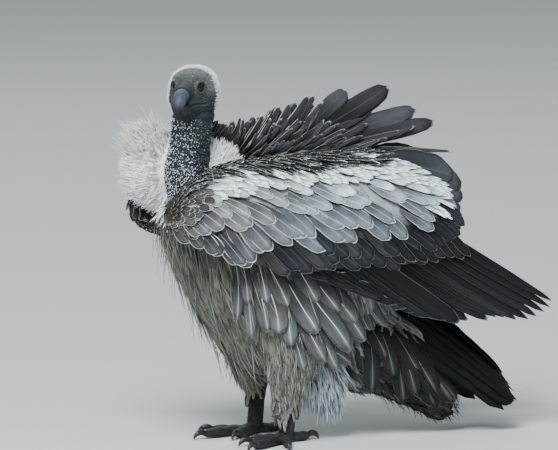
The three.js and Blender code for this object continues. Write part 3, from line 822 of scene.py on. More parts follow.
class Coat:
    """Collects feathers and makes them one piece."""

    def __init__(self):
        self.parts = []

    def add(self, spine, normal, width, shape, base, rim, shaft, rim_width=0.16, shaft_width=0.05, columns=5,
            thick=0.4, camber=0.22, ragged=0.03, roll=5.0, tilt=0.0, web=0.0, small=False):
        """Vanes along these spines. Those that are small share one unwrap, the others get a cell each."""
        m, rows = spine.shape[:2]
        profile, short = SHAPES[shape]
        x = np.linspace(-1, 1, columns)
        reach = 1 - short * np.abs(x) ** 2.4 - ragged * rng.random((m, columns))
        s = np.linspace(0, 1, rows)[None, :, None] * reach[:, None, :]
        k = s * (rows - 1)
        i = np.minimum(k.astype(int), rows - 2)
        w = (k - i)[..., None]
        pick = np.arange(m)[:, None, None]

        def along(values):
            return values[pick, i] * (1 - w) + values[pick, i + 1] * w

        ahead = unit(np.gradient(spine, axis=1))
        normal = unit(normal - dot(normal, ahead) * ahead)
        side = np.cross(ahead, normal)
        angle = np.radians(rng.normal(tilt, roll, (m, 1, 1)))
        c, d = np.cos(angle), np.sin(angle)
        side, normal = side * c + normal * d, normal * c - side * d
        half = spline(profile, s) * (np.asarray(width)[:, None, None] / 2)
        half = half * (1 + ragged * 1.2 * rng.normal(size=(m, rows, columns)))
        n = along(normal)
        top = along(spine) + along(side) * (x * half)[..., None] - n * (camber * x**2 * half)[..., None]
        low = (top - n * thick)[:, :, 1:-1]
        verts = np.concatenate([top.reshape(m, -1, 3), low.reshape(m, -1, 3)], 1)
        across = np.broadcast_to((x + 1) / 2, (m, rows, columns))
        row = np.broadcast_to(np.linspace(0, 1, rows)[None, :, None], s.shape)
        flat = np.stack([across, row, np.full_like(s, web)], -1)
        vane = np.concatenate([flat.reshape(m, -1, 3), flat[:, :, 1:-1].reshape(m, -1, 3)], 1)
        seed = rng.random(m)
        mark = np.stack([np.broadcast_to(rim_width, m), np.broadcast_to(shaft_width, m), seed], 1)
        tones = [np.broadcast_to(tone, (m, 3)) for tone in (base, rim, shaft)]
        self.parts.append(Part(verts, vane, *template(rows, columns), mark, tones, small, spine[:, 0]))

    def build(self, name, material, slot, *replaced):
        cells = sum(len(part.verts) for part in self.parts if not part.small)
        grid = max(1, math.ceil(math.sqrt(cells)))
        tuft_roots = [part.roots for part in self.parts if part.small]
        unwrapped = own_unwrap(np.vstack(tuft_roots)) if tuft_roots else None
        colours = {"base": [], "rim": [], "shaft": []}
        marks, loops, totals, bake = [], [], [], []
        start = used = tufts_used = 0
        for part in self.parts:
            m, each = part.verts.shape[:2]
            marks.append(np.repeat(part.mark, each, axis=0))
            for rows, tone in zip(colours.values(), part.tones):
                rows.append(np.repeat(tone, each, axis=0))
            flat = np.concatenate(part.faces)
            loops.append((flat[None] + (start + np.arange(m) * each)[:, None]).ravel())
            totals.append(np.tile([len(face) for face in part.faces], m))
            if part.small:
                corner, cell = unwrapped[tufts_used : tufts_used + m] - TUFT_CELL / 2, TUFT_CELL
                tufts_used += m
            else:
                k = used + np.arange(m)
                corner, cell = np.stack([k % grid, k // grid], 1) / grid, 1 / grid
                used += m
            spots = np.array([spot for face in part.places for spot in face], float)
            bake.append((corner[:, None] + spots[None] * cell).reshape(-1, 2))
            start += m * each
        verts = to_row(np.vstack([part.verts.reshape(-1, 3) for part in self.parts]))
        loops, totals = np.concatenate(loops), np.concatenate(totals)
        mesh = bpy.data.meshes.new(name)
        mesh.vertices.add(len(verts))
        mesh.vertices.foreach_set("co", verts.astype(np.float32).ravel())
        mesh.loops.add(len(loops))
        mesh.loops.foreach_set("vertex_index", loops.astype(np.int32))
        mesh.polygons.add(len(totals))
        mesh.polygons.foreach_set("loop_start", (np.cumsum(totals) - totals).astype(np.int32))
        mesh.update(calc_edges=True)
        layer = mesh.uv_layers.new(name="OFBake")
        layer.data.foreach_set("uv", np.clip(np.vstack(bake), 0.0001, 0.9999).astype(np.float32).ravel())
        put(mesh, "vane", "FLOAT_VECTOR", np.vstack([part.vane.reshape(-1, 3) for part in self.parts]))
        put(mesh, "mark", "FLOAT_VECTOR", np.vstack(marks))
        for word, rows in colours.items():
            put(mesh, word, "FLOAT_COLOR", np.vstack(rows))
        obj = new_object(name, mesh)
        mesh.materials.append(material)
        put_on(obj, slot, *replaced)


def walk(tree, start, heading, length, rows, cling=0.6):
    """Lines along a surface, their points and normals. The less they cling, the straighter they run on."""
    m = len(start)
    place, face = np.empty((m, rows, 3)), np.empty((m, rows, 3))
    length = np.broadcast_to(length, m)
    for k in range(m):
        p, way = Vector(start[k]), Vector(heading[k])
        step = length[k] / (rows - 1)
        for i in range(rows):
            spot, n, *_ = tree.find_nearest(p)
            gap = (p - spot).dot(n)
            p = spot + n * max(gap, 0) * (1 - cling)
            place[k, i], face[k, i] = p, n
            way = way - n * way.dot(n) * (1.0 if gap < 1 else cling)
            way.normalize()
            p = p + way * step
    for _ in range(2):
        face[:, 1:-1] = (face[:, :-2] + face[:, 1:-1] * 2 + face[:, 2:]) / 4
        place[:, 1:-1] = (place[:, :-2] + place[:, 1:-1] * 2 + place[:, 2:]) / 4
        face[:, -1] = face[:, -2]
    return place, unit(face)


def raise_off(place, face, low, high, curl=0.0):
    """Lifts each feather from low at its root to high at its tip, with its tip curled back in."""
    t = np.linspace(0, 1, place.shape[1])[None, :]
    low, high, curl = (np.reshape(np.asarray(v, float), (-1, 1)) for v in (low, high, curl))
    lift = low + (high - low) * np.sin(t * math.pi / 2) - curl * t**4
    return place + face * lift[..., None]


def vary(colour, m, amount=0.14, tint=0.03):
    """The same colour for m feathers, each a little lighter or darker."""
    colour, amount = np.broadcast_to(colour, (m, 3)), np.reshape(amount, (-1, 1))
    return np.clip(colour * np.exp(rng.normal(0, amount, (m, 1)) + rng.normal(0, tint, (m, 3))), 0.001, 0.95)


def grade(t, near, near_amount, far, far_amount):
    """A colour for each feather, from near to far as t goes from 0 to 1, each a little lighter or darker."""
    return mixed(vary(srgb(*near), len(t), near_amount), vary(srgb(*far), len(t), far_amount), t)


# ---------------------------------------------------------------- bill, cere, eyes and claws
def hard_piece(name, form, material, slot, values, attribute="grow"):
    """A hard part in place of the frame's node of that name, with the values that its material reads."""
    verts, faces = form
    mesh = new_mesh(name, to_row(verts), faces)
    obj = new_object(name, mesh)
    mesh.materials.append(material)
    put(mesh, attribute, "FLOAT", values)
    put_on(obj, slot, name)


def make_eye(side, word):
    """A ball with a slight cornea: each vertex carries its distance from the gaze, and the back carries 1."""
    flip = np.array([1, -side, 1])
    middle = np.array([EYE_F, EYE_OUT, EYE_U]) * flip
    look = GAZE * flip
    radius = EYE_R - 0.05  # a little smaller than the socket's ball
    steps = np.linspace(0, math.pi, 33)
    spine = [middle - look * radius * math.cos(a) for a in steps]
    width = np.maximum(radius * np.sin(steps), 0.3)
    verts, faces = loft(spine, width, width, around=40, rings=36)
    off = verts - middle
    from_axis = np.linalg.norm(off - dot(off, look) * look, axis=1) / EYE_R
    front = (off @ look) > 0
    cornea = np.where(front, 0.5 * np.exp(-((from_axis / 0.45) ** 2)), 0)[:, None] * look
    iris = np.where(front, from_axis, 1.0)
    hard_piece("eye_" + word, on_head((verts + cornea, faces)), EYE, "eye", iris, "iris")


def make_upper_bill():
    """The hooked upper bill: its cutting edge stands out a little and waves."""
    upper = [(50, 0, 3.5), (60, 0, 3.2), (71, 0, 0.8), (79.5, 0, -6.5), (84, 0, -16), (85, 0, -25)]
    verts, faces = loft(upper, [11, 11.9, 12.0, 10.6, 6.4, 0.9], [9, 10.4, 9.4, 7.2, 4.2, 0.9],
                        [9, 10.6, 8.6, 6.2, 3.6, 0.9], around=48, rings=56, square=1.08, inset=0.15)
    f, l, u = verts.T
    along = np.clip((f - 52 + np.maximum(-6 - u, 0) * 0.9) / 46, 0, 1)
    edge = smooth(4, 8, np.abs(l)) * smooth(-2, -6, u) * smooth(80, 66, f)
    verts = verts + np.stack([0 * f, np.sign(l) * 0.8 * edge, 0 * f], 1)
    verts[:, 2] += 0.5 * np.sin(f * 0.55) * edge
    hard_piece("bill_upper", on_head((verts, faces)), BILL, "bill", along)


def make_lower_bill():
    lower = [(36, 0, -14), (48, 0, -13.8), (62, 0, -13.2), (74, 0, -11.5)]
    verts, faces = loft(lower, [11.5, 11.6, 9.6, 2], [4, 5, 4.6, 1.2], [5, 5.4, 4.4, 1.2], around=40,
                        inset=0.15)
    # the lower bill takes the cere's dark colours: partly its own dark horn, partly painted shade under the
    # upper bill
    along = np.clip((verts[:, 0] - 40) / 38, 0, 0.9)
    hard_piece("bill_lower", on_head((verts, faces)), CERE_SKIN, "bill", along)


def make_cere():
    """The cere, with slanting nostrils in low rims and fine folds at its rear."""
    verts, faces = hull(CERE, around=56, rings=56, inset=0.1)
    f, l, u = verts.T
    across = (f - 49.5) + 0.25 * (u - 5)  # how far each point is from the nostril's slanting axis
    nostril = bump_at(across, u - 5, 1.9, 6.0) * (np.abs(l) > 5)
    rim = bump_at(across, u - 5, 3.4, 7.5) * (np.abs(l) > 6)
    verts = verts.copy()
    verts[:, 1] -= np.sign(l) * (3.0 * nostril - 0.8 * rim)
    verts[:, 2] += 0.18 * np.sin(f * 1.9 + 0.5 * np.sin(u)) * smooth(46, 40, f)
    groove = smooth(52.5, 56, f)
    paler = 0.45 * smooth(46, 38, f) * smooth(-4, 6, u)
    # the nostrils and the band along the front edge take the near-black root colour: painted shade in the
    # nostrils' openings and in the crease against the horn
    grow = np.clip(1 - nostril * 1.6, 0, 1) * (1 - groove) * (0.5 + paler)
    hard_piece("cere", on_head((verts, faces)), CERE_SKIN, "cere", grow)


def make_claws(side, word):
    for name, (_, long, _) in TOES.items():
        reach = [long - 4, long + 5, long + 13, long + 18]
        spine = [on_toe(side, name, d, h) for d, h in zip(reach, [7.5, 10.5, 7.5, 0.9])]
        shape = {"around": 28, "rings": 30, "square": 1.1, "inset": 0.05}
        verts, faces = loft(spine, [3.6, 4, 3, 0.8], [4, 4.4, 3.4, 0.8], **shape)
        verts[:, 2] = np.maximum(verts[:, 2], FLOOR_GAP)
        far = np.linalg.norm(verts[:, :2] - np.array(spine[0])[:2], axis=1) / CLAW
        hard_piece(f"claw_{name}_{word}", (verts, faces), CLAW_HORN, "claw", np.clip(1 - far, 0, 1))


make_upper_bill()
make_lower_bill()
make_cere()
for side, word in SIDES:
    make_eye(side, word)
    make_claws(side, word)


# ---------------------------------------------------------------- coat of the head, neck and ruff
def tufts(coat, place, normal, heading, length, width, stand, base, tip, rows=3, shape="tuft", bend=0.0,
          sink=0.8, **more):
    """Small down tufts: stand is how far they stand off the skin, from 0, flat, to 1, upright."""
    m = len(place)
    flat = unit(heading - dot(heading, normal) * normal)
    stand = np.broadcast_to(np.asarray(stand, float).reshape(-1, 1), (m, 1))
    way = unit(flat * (1 - stand) + normal * stand + rng.normal(0, 0.16, (m, 3)))
    length = np.broadcast_to(length, m)[:, None, None] * rng.uniform(0.75, 1.2, (m, 1, 1))
    t = np.linspace(0, 1, rows)[None, :, None]
    droop = np.array([0, 0, -bend])
    spine = (place - normal * sink)[:, None] + (way[:, None] * t + droop * t**2) * length
    face = unit(normal + rng.normal(0, 0.35, (m, 3)))[:, None] * np.ones((1, rows, 1))
    width = np.broadcast_to(width, m) * rng.uniform(0.8, 1.25, m)
    coat.add(spine, face, width, shape, base, tip, tip, columns=3, small=True, roll=25.0, **more)


def hood_edge(q):
    """How far forward the white hood reaches over the head at each head point; its white tips are partly the
    down's own colour and partly painted light, the bright fringe that light from behind gives the down.
    """
    return 2 - 0.22 * q[:, 1] - 5 * smooth(14, 28, q[:, 2])


def coat_head():
    coat = Coat()
    place, normal = roots(on("head"), 1.6)
    q = in_head(place)
    bald = (q[:, 0] > 37) | (eye_distance(q) < 8.4)
    bald |= (q[:, 0] > 20) & (np.abs(q[:, 2] + 13.5) < 1.6)
    place, normal, q = place[~bald], normal[~bald], q[~bald]
    fringe = hood_edge(q)
    face = smooth(fringe - 5, fringe + 4, q[:, 0])
    low = smooth(6, -8, q[:, 2])
    heading = -head_forward[None] + head_up[None] * (0.5 - 0.4 * face[:, None])
    m = len(place)
    dark = mixed(srgb(0.24, 0.24, 0.22), srgb(0.11, 0.13, 0.145), low)
    pale = mixed(srgb(0.47, 0.47, 0.43), srgb(0.23, 0.26, 0.29), low)
    root = mixed(srgb(0.5, 0.5, 0.48), dark, face)
    # white tips on the hood: partly the down's own colour, partly painted light, the bright fringe of backlit
    # down
    tip = mixed(srgb(0.96, 0.96, 0.96), pale, face)
    tufts(coat, place, normal, heading, 4.2 - 2.2 * face, 1.1 - 0.5 * face, 0.38 + 0.06 * face,
          vary(root, m, 0.25), vary(tip, m, 0.42 * face + 0.03), thick=0.25, ragged=0.0, sink=0.3)
    place, normal = roots(on("head"), 1.9)
    q = in_head(place)
    keep = (q[:, 0] < 34) & (rng.random(len(q)) < 0.004) & (eye_distance(q) > 11)
    keep |= q[:, 0] < hood_edge(q) + 5
    place, normal = place[keep], normal[keep]
    m = len(place)
    heading = head_up * 0.6 - head_forward * 0.4
    length = 4.6 - 1.8 * smooth(4, 24, in_head(place)[:, 0])
    # upright white tufts along the hood's edge: partly the down's own colour, partly painted light, the
    # bright fringe of backlit down
    tufts(coat, place, normal, heading, length, 0.6, 0.8, vary(srgb(0.8, 0.8, 0.8), m, 0.1),
          vary(srgb(0.97, 0.97, 0.97), m, 0.03), thick=0.25, ragged=0.0)
    coat.build("coat_head", DOWN, "face")


def coat_neck():
    """White tufts, sparse at the back and throat, over short dark down."""
    coat = Coat()
    place, normal = roots(on("neck"), 2.5)
    speck = 0.7 * wobble(place, 7.5, 21) + rng.uniform(-1.1, 1.1, len(place))
    near = np.clip(smooth(-118, -140, place[:, 0]) + smooth(430, 390, place[:, 2]) * 0.4, 0, 1)
    chin = smooth(470, 484, place[:, 2]) * (normal @ head_forward > 0.1)
    keep = (speck > 0.1 - 0.45 * near) & (chin < 0.5)
    place, normal, near = place[keep], normal[keep], near[keep]
    m = len(place)
    tip = mixed(srgb(0.7, 0.71, 0.7), srgb(0.98, 0.98, 0.99), near)
    tufts(coat, place, normal, (0, 0, -1.0), 2.4 + near, 1.6 + 0.5 * near, 0.4,
          vary(srgb(0.55, 0.57, 0.6), m), vary(tip, m, 0.08), thick=0.5, ragged=0.05)
    place, normal = roots(on("neck"), 2.2)
    m = len(place)
    tufts(coat, place, normal, (0, 0, -1.0), 3.0, 0.9, 0.5, vary(srgb(0.12, 0.125, 0.14), m),
          vary(srgb(0.25, 0.255, 0.265), m, 0.4), thick=0.3, ragged=0.0)
    coat.build("coat_neck", DOWN, "neck")


def coat_ruff():
    """White down, looser at the edge, with long beige wisps at the top in front."""
    coat = Coat()
    place, normal = roots(on("ruff"), 2.5)
    m = len(place)
    rear = smooth(-120, -80, place[:, 0])
    heading = unit(place - np.array([-122, 0, 380.0])) + np.array([-0.3, 0, 0.2])
    beige = smooth(404, 430, place[:, 2]) * smooth(-140, -156, place[:, 0])
    tip = mixed(vary(SKIN_TONE["ruff"], m, 0.02), vary(srgb(0.88, 0.86, 0.81), m, 0.06), beige)
    root = mixed(vary(srgb(0.93, 0.94, 0.95), m, 0.02), vary(srgb(0.74, 0.71, 0.64), m, 0.08), beige)
    tufts(coat, place, normal, heading, 17 + 3 * rear, 2.0, 0.08 + 0.1 * rear, root, tip, rows=4, bend=0.05,
          shape="lance", thick=0.3, ragged=0.05)
    edge = (np.abs(normal[:, 1]) < 0.75) & (place[:, 0] < -120) & (rng.random(m) < 0.12)
    n = edge.sum()
    tufts(coat, place[edge], normal[edge], heading[edge], 16.0, 1.2, 0.5,
          vary(srgb(0.9, 0.9, 0.88), n, 0.05), vary(srgb(0.97, 0.97, 0.96), n, 0.02), rows=5, bend=0.05,
          shape="lance", thick=0.35, ragged=0.05)
    pick = (beige > 0.3) & (rng.random(m) < 0.3)
    n = pick.sum()
    tufts(coat, place[pick], normal[pick], (-0.7, 0.1, 0.8), 14 + 22 * rng.random(n), 1.3, 0.4,
          vary(srgb(0.64, 0.6, 0.53), n, 0.15), vary(srgb(0.93, 0.91, 0.86), n, 0.06), rows=5, bend=0.05,
          shape="lance", thick=0.4, ragged=0.08)
    coat.build("coat_ruff", DOWN, "down")


# ---------------------------------------------------------------- coat of the body
def body_coat(name, slot, place, normal, heading, length, width, looks, high, cling=0.6, scatter=0.1,
              shape="raised", columns=5, ragged=0.06):
    """Contour feathers rooted on the skin, lying along it, with their tips about high off it."""
    m = len(place)
    coat = Coat()
    heading = unit(heading + rng.normal(0, scatter, (m, 3)))
    heading = unit(heading - dot(heading, normal) * normal)
    line, face = walk(SKIN_TREE, place, heading, length * rng.uniform(0.85, 1.15, m), 7, cling)
    line = raise_off(line, face, 0.5, high * rng.uniform(0.75, 1.1, m), 1.5)
    colour, rim, shaft, rim_width, shaft_width = looks
    coat.add(line, face, width * rng.uniform(0.85, 1.15, m), shape, colour, rim, shaft, rim_width,
             shaft_width, columns=columns, ragged=ragged, roll=9.0)
    coat.build(name, FEATHER, slot)


def barbs(coat, place, normal, heading, length, width, stand, base, tip):
    """Hair-like barbs lying over the contour feathers."""
    tufts(coat, place, normal, heading, length, width, stand, base, tip, rows=5, bend=0.08, shape="lance",
          thick=0.4, ragged=0.06)


def coat_belly(below):
    """The feathers of the belly and breast, with whiter shafts towards the rear."""
    place, normal = roots(below, 11)
    low = smooth(330, 200, place[:, 2])
    rear = smooth(-20, 90, place[:, 0])
    breast = smooth(334, 350, place[:, 2]) * smooth(-125, -150, place[:, 0])
    m = len(place)
    heading = np.stack([0.26 + 0.3 * rear, -np.sign(place[:, 1]) * 0.05, np.full(m, -1.0)], 1)
    colour = grade(rear, (0.385, 0.38, 0.34), 0.13, (0.41, 0.405, 0.4), 0.12)
    colour = mixed(colour, vary(srgb(0.84, 0.84, 0.82), m, 0.05), breast)
    rim = grade(rear, (0.47, 0.46, 0.42), 0.1, (0.5, 0.51, 0.5), 0.08)
    rim = mixed(rim, vary(srgb(0.94, 0.94, 0.93), m, 0.04), breast)
    shaft = grade(rear, (0.7, 0.7, 0.66), 0.1, (0.86, 0.88, 0.9), 0.05)
    body_coat("coat_belly", "body", place, normal, heading, 80 + 8 * low, 19 + 3 * rear,
              (colour, rim, shaft, 0.45, 0.06), 6.5, scatter=0.07)


def coat_streaks(below, front):
    """The pale barbs over the belly, and the short down of the breast."""
    coat = Coat()
    place, normal = roots(below, 7.5)
    m = len(place)
    breast = smooth(330, 346, place[:, 2]) * smooth(-120, -146, place[:, 0])
    pale = grade(breast, (0.56, 0.56, 0.515), 0.16, (0.95, 0.95, 0.94), 0.03)
    deep = grade(breast, (0.36, 0.35, 0.32), 0.2, (0.86, 0.86, 0.84), 0.04)
    keep = rng.random(m) < 0.45 + 0.4 * breast - 0.36 * smooth(-80, -40, place[:, 0])
    barbs(coat, place[keep] + normal[keep] * 6.0, normal[keep], (0.3, 0, -1.0), 58 - 22 * breast[keep], 1.7,
          0.03, deep[keep], pale[keep])
    place, normal = roots(front, 4.5)
    m = len(place)
    heading = np.stack([np.full(m, 0.1), np.sign(place[:, 1]) * 0.2, np.full(m, -1.0)], 1)
    tufts(coat, place, normal, heading, 17.0, 3.2, 0.15, vary(srgb(0.86, 0.86, 0.85), m, 0.05),
          vary(srgb(0.95, 0.95, 0.95), m, 0.03), rows=4, bend=0.1, shape="lance", thick=0.4, ragged=0.06)
    coat.build("coat_streaks", DOWN, "body")


def coat_back(above):
    place, normal = roots(above, 11)
    m = len(place)
    rump = smooth(110, 190, place[:, 0])
    heading = np.stack([np.full(m, 1.0), np.sign(place[:, 1]) * 0.25, np.full(m, -0.15)], 1)
    colour = mixed(vary(BACK, m), vary(RUMP, m, 0.06), rump)
    rim = mixed(vary(srgb(0.62, 0.58, 0.54), m), vary(RUMP, m, 0.04), rump)
    body_coat("coat_back", "body", place, normal, heading, 38, 20, (colour, rim, rim, 0.14, 0.05), 10.0,
              shape="round")


def coat_body():
    x, _, z = TRIANGLE_MIDDLE.T
    trunk = on("trunk")
    below = trunk & (z < 330)
    coat_belly(below)
    coat_streaks(below, trunk & (z >= 332) & (x < -92))
    coat_back(trunk & (z >= 330) & (x > -92))


BROAD = {  # hanging feathers: tip x and z, length, width, lean in degrees and how far off the body
    "flank": [
        (-84, 190, 84, 15, 14, 9), (-70, 214, 74, 18, 16, 10), (-62, 164, 90, 18, 17, 10),
        (-44, 214, 76, 26, 20, 11), (-40, 172, 90, 26, 19, 12), (30, 212, 80, 32, 30, 12),
        (66, 196, 84, 34, 34, 12), (96, 178, 84, 32, 36, 12), (-12, 207, 80, 30, 28, 13),
        (112, 150, 84, 28, 32, 12), (82, 138, 112, 37, 31, 14), (43, 125, 84, 30, 26, 14),
        (-6, 150, 96, 26, 14, 14), (30, 168, 100, 35, 28, 16), (-23, 168, 100, 34, 25, 15),
        (66, 108, 80, 22, 22, 10), (14, 112, 66, 18, 16, 11), (96, 112, 70, 20, 20, 9),
    ],
    "under": [
        (128, 128, 60, 24, 16, 7), (146, 134, 60, 24, 20, 7), (118, 96, 70, 26, 8, 7),
        (131, 66, 72, 27, 6, 9), (183, 50, 72, 26, 18, 7), (233, 42, 70, 26, 29, 6),
        (248, 44, 76, 26, 33, 6), (152, 118, 64, 27, 25, 10), (163, 92, 66, 25, 14, 11),
        (206, 88, 74, 30, 25, 10), (234, 60, 92, 33, 30, 11), (262, 46, 112, 38, 32, 9),
        (200, 60, 76, 27, 22, 11), (270, 46, 90, 34, 38, 8), (258, 40, 84, 30, 30, 5),
    ],
}
BROAD_LOOK = {  # colour, rim, shaft, the shaft's width, and how ragged the edges are
    "flank": (srgb(0.32, 0.32, 0.325), srgb(0.5, 0.5, 0.49), srgb(0.97, 0.98, 1.0), 0.06, 0.03),
    "under": (srgb(0.105, 0.097, 0.092), srgb(0.3, 0.29, 0.28), srgb(0.62, 0.62, 0.61), 0.03, 0.07),
}


def coat_broad():
    """The broad feathers that hang from the flanks, grey with white shafts, and from under the tail, dark."""
    trees, coats, rows = {}, {"flank": Coat(), "under": Coat()}, 12
    for kind, forms in (("flank", ("trunk", "thigh_left", "thigh_right", "vent")), ("under", ("undertail",))):
        flesh = TRIANGLE[on(*forms)]
        faces = np.arange(3 * len(flesh)).reshape(-1, 3)
        trees[kind] = BVHTree.FromPolygons([tuple(v) for v in flesh.reshape(-1, 3)], faces.tolist())
    shares = np.linspace(0, 1, rows)[None, :, None]
    for side, kind in [(side, kind) for side in (LEFT, RIGHT) for kind in BROAD]:
        tone, rim, shaft, shaft_width, ragged = BROAD_LOOK[kind]
        for x, z, length, width, lean, out in BROAD[kind]:
            spot = np.array(trees[kind].find_nearest((x, side * 125.0, z))[0])
            lean = math.radians(lean + rng.normal(0, 1.5))
            back = np.array([[-math.sin(lean), 0, math.cos(lean)]])
            line, face = walk(trees[kind], spot[None], back, np.array([float(length)]), rows, 0.9)
            line, face = line[:, ::-1], face[:, ::-1]
            line = raise_off(line, face, 5.0, float(out), 1.5)
            line = line + (np.array([x, spot[1], z]) - spot) * shares**2
            coats[kind].add(line, face, np.array([float(width)]), "strip", vary(tone, 1, 0.12),
                  vary(rim, 1, 0.08), vary(shaft, 1, 0.02), 0.07, shaft_width, columns=9, thick=0.45,
                  ragged=ragged, camber=0.12, web=-side * 0.12)
    coats["flank"].build("coat_flanks", FEATHER, "body")
    coats["under"].build("coat_undertail_broad", FEATHER, "undertail")


def coat_wrists():
    """The scale feathers round the front edge of each wing."""
    coat = Coat()
    facing = TRIANGLE_NORMAL.mean(1)
    for word in ("left", "right"):
        edge = on("wing_" + word) & (TRIANGLE_MIDDLE[:, 0] < (-163 if word == "left" else -110))
        edge &= (facing[:, 0] < -0.3) | ((word == "right") & (facing[:, 1] < 0.3))
        place, _ = roots(edge, 8.5)
        m = len(place)
        long = 25.0 if word == "left" else 36 + 18 * smooth(332, 300, place[:, 2])
        heading = unit((0.25, 0, -1.0) + rng.normal(0, 0.15, (m, 3)))
        line, face = walk(SKIN_TREE, place, heading, long * rng.uniform(0.85, 1.2, m), 8, 0.3)
        line = raise_off(line, face, 0.2, 9.0 * rng.uniform(0.8, 1.1, m), 0.5)
        coat.add(line, face, 12.0 * rng.uniform(0.85, 1.15, m), "raised",
                 vary(srgb(0.2, 0.175, 0.16), m, 0.3), vary(srgb(0.78, 0.74, 0.69), m, 0.1),
                 vary(srgb(0.34, 0.31, 0.29), m, 0.1), 0.17, 0.04, ragged=0.05, roll=6.0)
    coat.build("coat_wrists", FEATHER, "coverts")


def coat_thighs():
    """Contour feathers and barbs down to the feet."""
    for word in ("left", "right"):
        place, normal = roots(on("thigh_" + word), 8.0)
        low = smooth(160, 60, place[:, 2])
        colour = grade(low, (0.4, 0.4, 0.365), 0.16, (0.45, 0.45, 0.42), 0.14)
        rim = vary(srgb(0.58, 0.58, 0.54), len(place), 0.1)
        body_coat("coat_thigh_" + word, "body", place, normal, (0.12, 0, -1.0), 46 - 6 * low, 10 - 4 * low,
                  (colour, rim, rim, 0.4, 0.14), 7.0, cling=0.45, scatter=0.14, ragged=0.1)
        coat = Coat()
        place, normal = roots(on("thigh_" + word), 6.0)
        low = smooth(160, 60, place[:, 2])
        pale = grade(low, (0.56, 0.56, 0.515), 0.16, (0.68, 0.68, 0.65), 0.12)
        barbs(coat, place + normal * (6 - 3 * low[:, None]), normal, (0.12, 0, -1.0), 30.0 - 8 * low, 2.0,
              0.08, vary(srgb(0.44, 0.43, 0.39), len(place), 0.2), pale)
        coat.build("coat_trousers_" + word, DOWN, "body")


def coat_vent():
    coat = Coat()
    place, normal = roots(on("vent"), 4.2)
    m = len(place)
    tufts(coat, place, normal, (0.25, 0, -1.0), 26.0, 3.0, 0.25, vary(srgb(0.58, 0.61, 0.64), m, 0.14),
          vary(srgb(0.8, 0.83, 0.86), m, 0.07), rows=5, bend=0.3, shape="lance", thick=0.45, ragged=0.1)
    coat.build("coat_vent", DOWN, "down")


def coat_undertail():
    """Dark soft feathers below the tail, with loose barbs that are pale in front."""
    place, normal = roots(on("undertail"), 14)
    keep = normal[:, 0] < 0.3
    place, normal = place[keep], normal[keep]
    m = len(place)
    front = smooth(150, 90, place[:, 0])
    colour = grade(front, (0.095, 0.088, 0.084), 0.25, (0.2, 0.19, 0.18), 0.15)
    rim = vary(srgb(0.27, 0.255, 0.24), m, 0.15)
    shaft = vary(srgb(0.55, 0.54, 0.52), m, 0.1)
    body_coat("coat_undertail", "undertail", place, normal, (0.75, 0, -0.72),
              68 - 38 * smooth(180, 250, place[:, 0]), 26, (colour, rim, shaft, 0.12, 0.05), 7.0, cling=0.45,
              scatter=0.14, ragged=0.08, shape="covert", columns=7)
    coat = Coat()
    place, normal = roots(on("undertail"), 6.5)
    keep = (place[:, 2] < 96) | (rng.random(len(place)) < 0.12)
    place, normal = place[keep], normal[keep]
    m = len(place)
    front = smooth(120, 80, place[:, 0])
    heading = (0.7, 0, -0.72) + rng.normal(0, 0.2, (m, 3))
    tip = grade(front, (0.24, 0.22, 0.21), 0.25, (0.66, 0.69, 0.72), 0.12)
    length = np.clip(place[:, 2] - 12, 8, 26)
    root = vary(srgb(0.14, 0.13, 0.12), m, 0.2)
    barbs(coat, place + normal * 4, normal, heading, length, 1.0, 0.15, root, tip)
    coat.build("coat_undertail_barbs", DOWN, "undertail")


# ---------------------------------------------------------------- the wings
def wing_tree(side):
    """The wing's outer face as a grid just outside the skin, for the coverts to lie on."""
    columns, rows = 90, 34
    u, v = np.meshgrid(np.linspace(0, 1, columns), np.linspace(0, 1, rows), indexing="ij")
    grid = wing_face(side, u, v, -WING_DEPTH + 0.6).reshape(-1, 3)
    faces = grid_quads(columns, rows)
    if side == RIGHT:
        faces = [quad[::-1] for quad in faces]
    return BVHTree.FromPolygons([tuple(p) for p in grid], faces)


def slope(side, degrees):
    """A heading along the wing: degrees below the horizontal, towards the tail."""
    a = np.radians(np.asarray(degrees, float))
    return np.stack([np.cos(a), side * 0.16 * np.cos(a), -np.sin(a)], -1)


def wing_row(coat, tree, side, tips, fall, length, width, count, colour, rim, shaft, high, rim_width=0.16,
             tilt=4.0, web=0.16, stray=0.014, shape="covert", rows=9, columns=7, ragged=0.02, curl=0.8,
             amount=0.1):
    """One row of coverts, placed by its tips: a line of (u, v) along the wing, from the wrist to the rear."""
    t = (np.arange(count) + rng.uniform(0.25, 0.75, count)) / count
    spots = spline(tips, t) + rng.normal(0, 1, (count, 2)) * (0.5 * stray, 1.5 * stray)
    tip = wing_face(side, np.clip(spots[:, 0], 0, 1), np.clip(spots[:, 1], 0, 1))
    back = -slope(side, spline(fall, t) + rng.normal(0, 3.5, count))
    length = spline(length, t) * rng.uniform(0.92, 1.08, count)
    line, face = walk(tree, tip, back, length, rows, 1.0)
    line, face = line[:, ::-1], face[:, ::-1]
    line = raise_off(line, face, 1.4, high * rng.uniform(0.95, 1.06, count), curl)
    tones = [tone(t) if callable(tone) else tone for tone in (colour, rim, shaft)]
    tones = [vary(tone, count, spread, 0.02) for tone, spread in zip(tones, (amount, 0.05, 0.05))]
    coat.add(line, face, spline(width, t) * rng.uniform(0.93, 1.07, count), shape, *tones, rim_width, 0.05,
             columns=columns, thick=0.45, ragged=ragged, camber=0.13, roll=3.0, tilt=-side * tilt,
             web=-side * web)


def blend_tones(*tones):
    """Colours that change along a row of feathers."""
    return lambda t: spline([srgb(*tone) for tone in tones], t)


SLATE, BROWN = srgb(0.115, 0.118, 0.135), srgb(0.2, 0.18, 0.17)
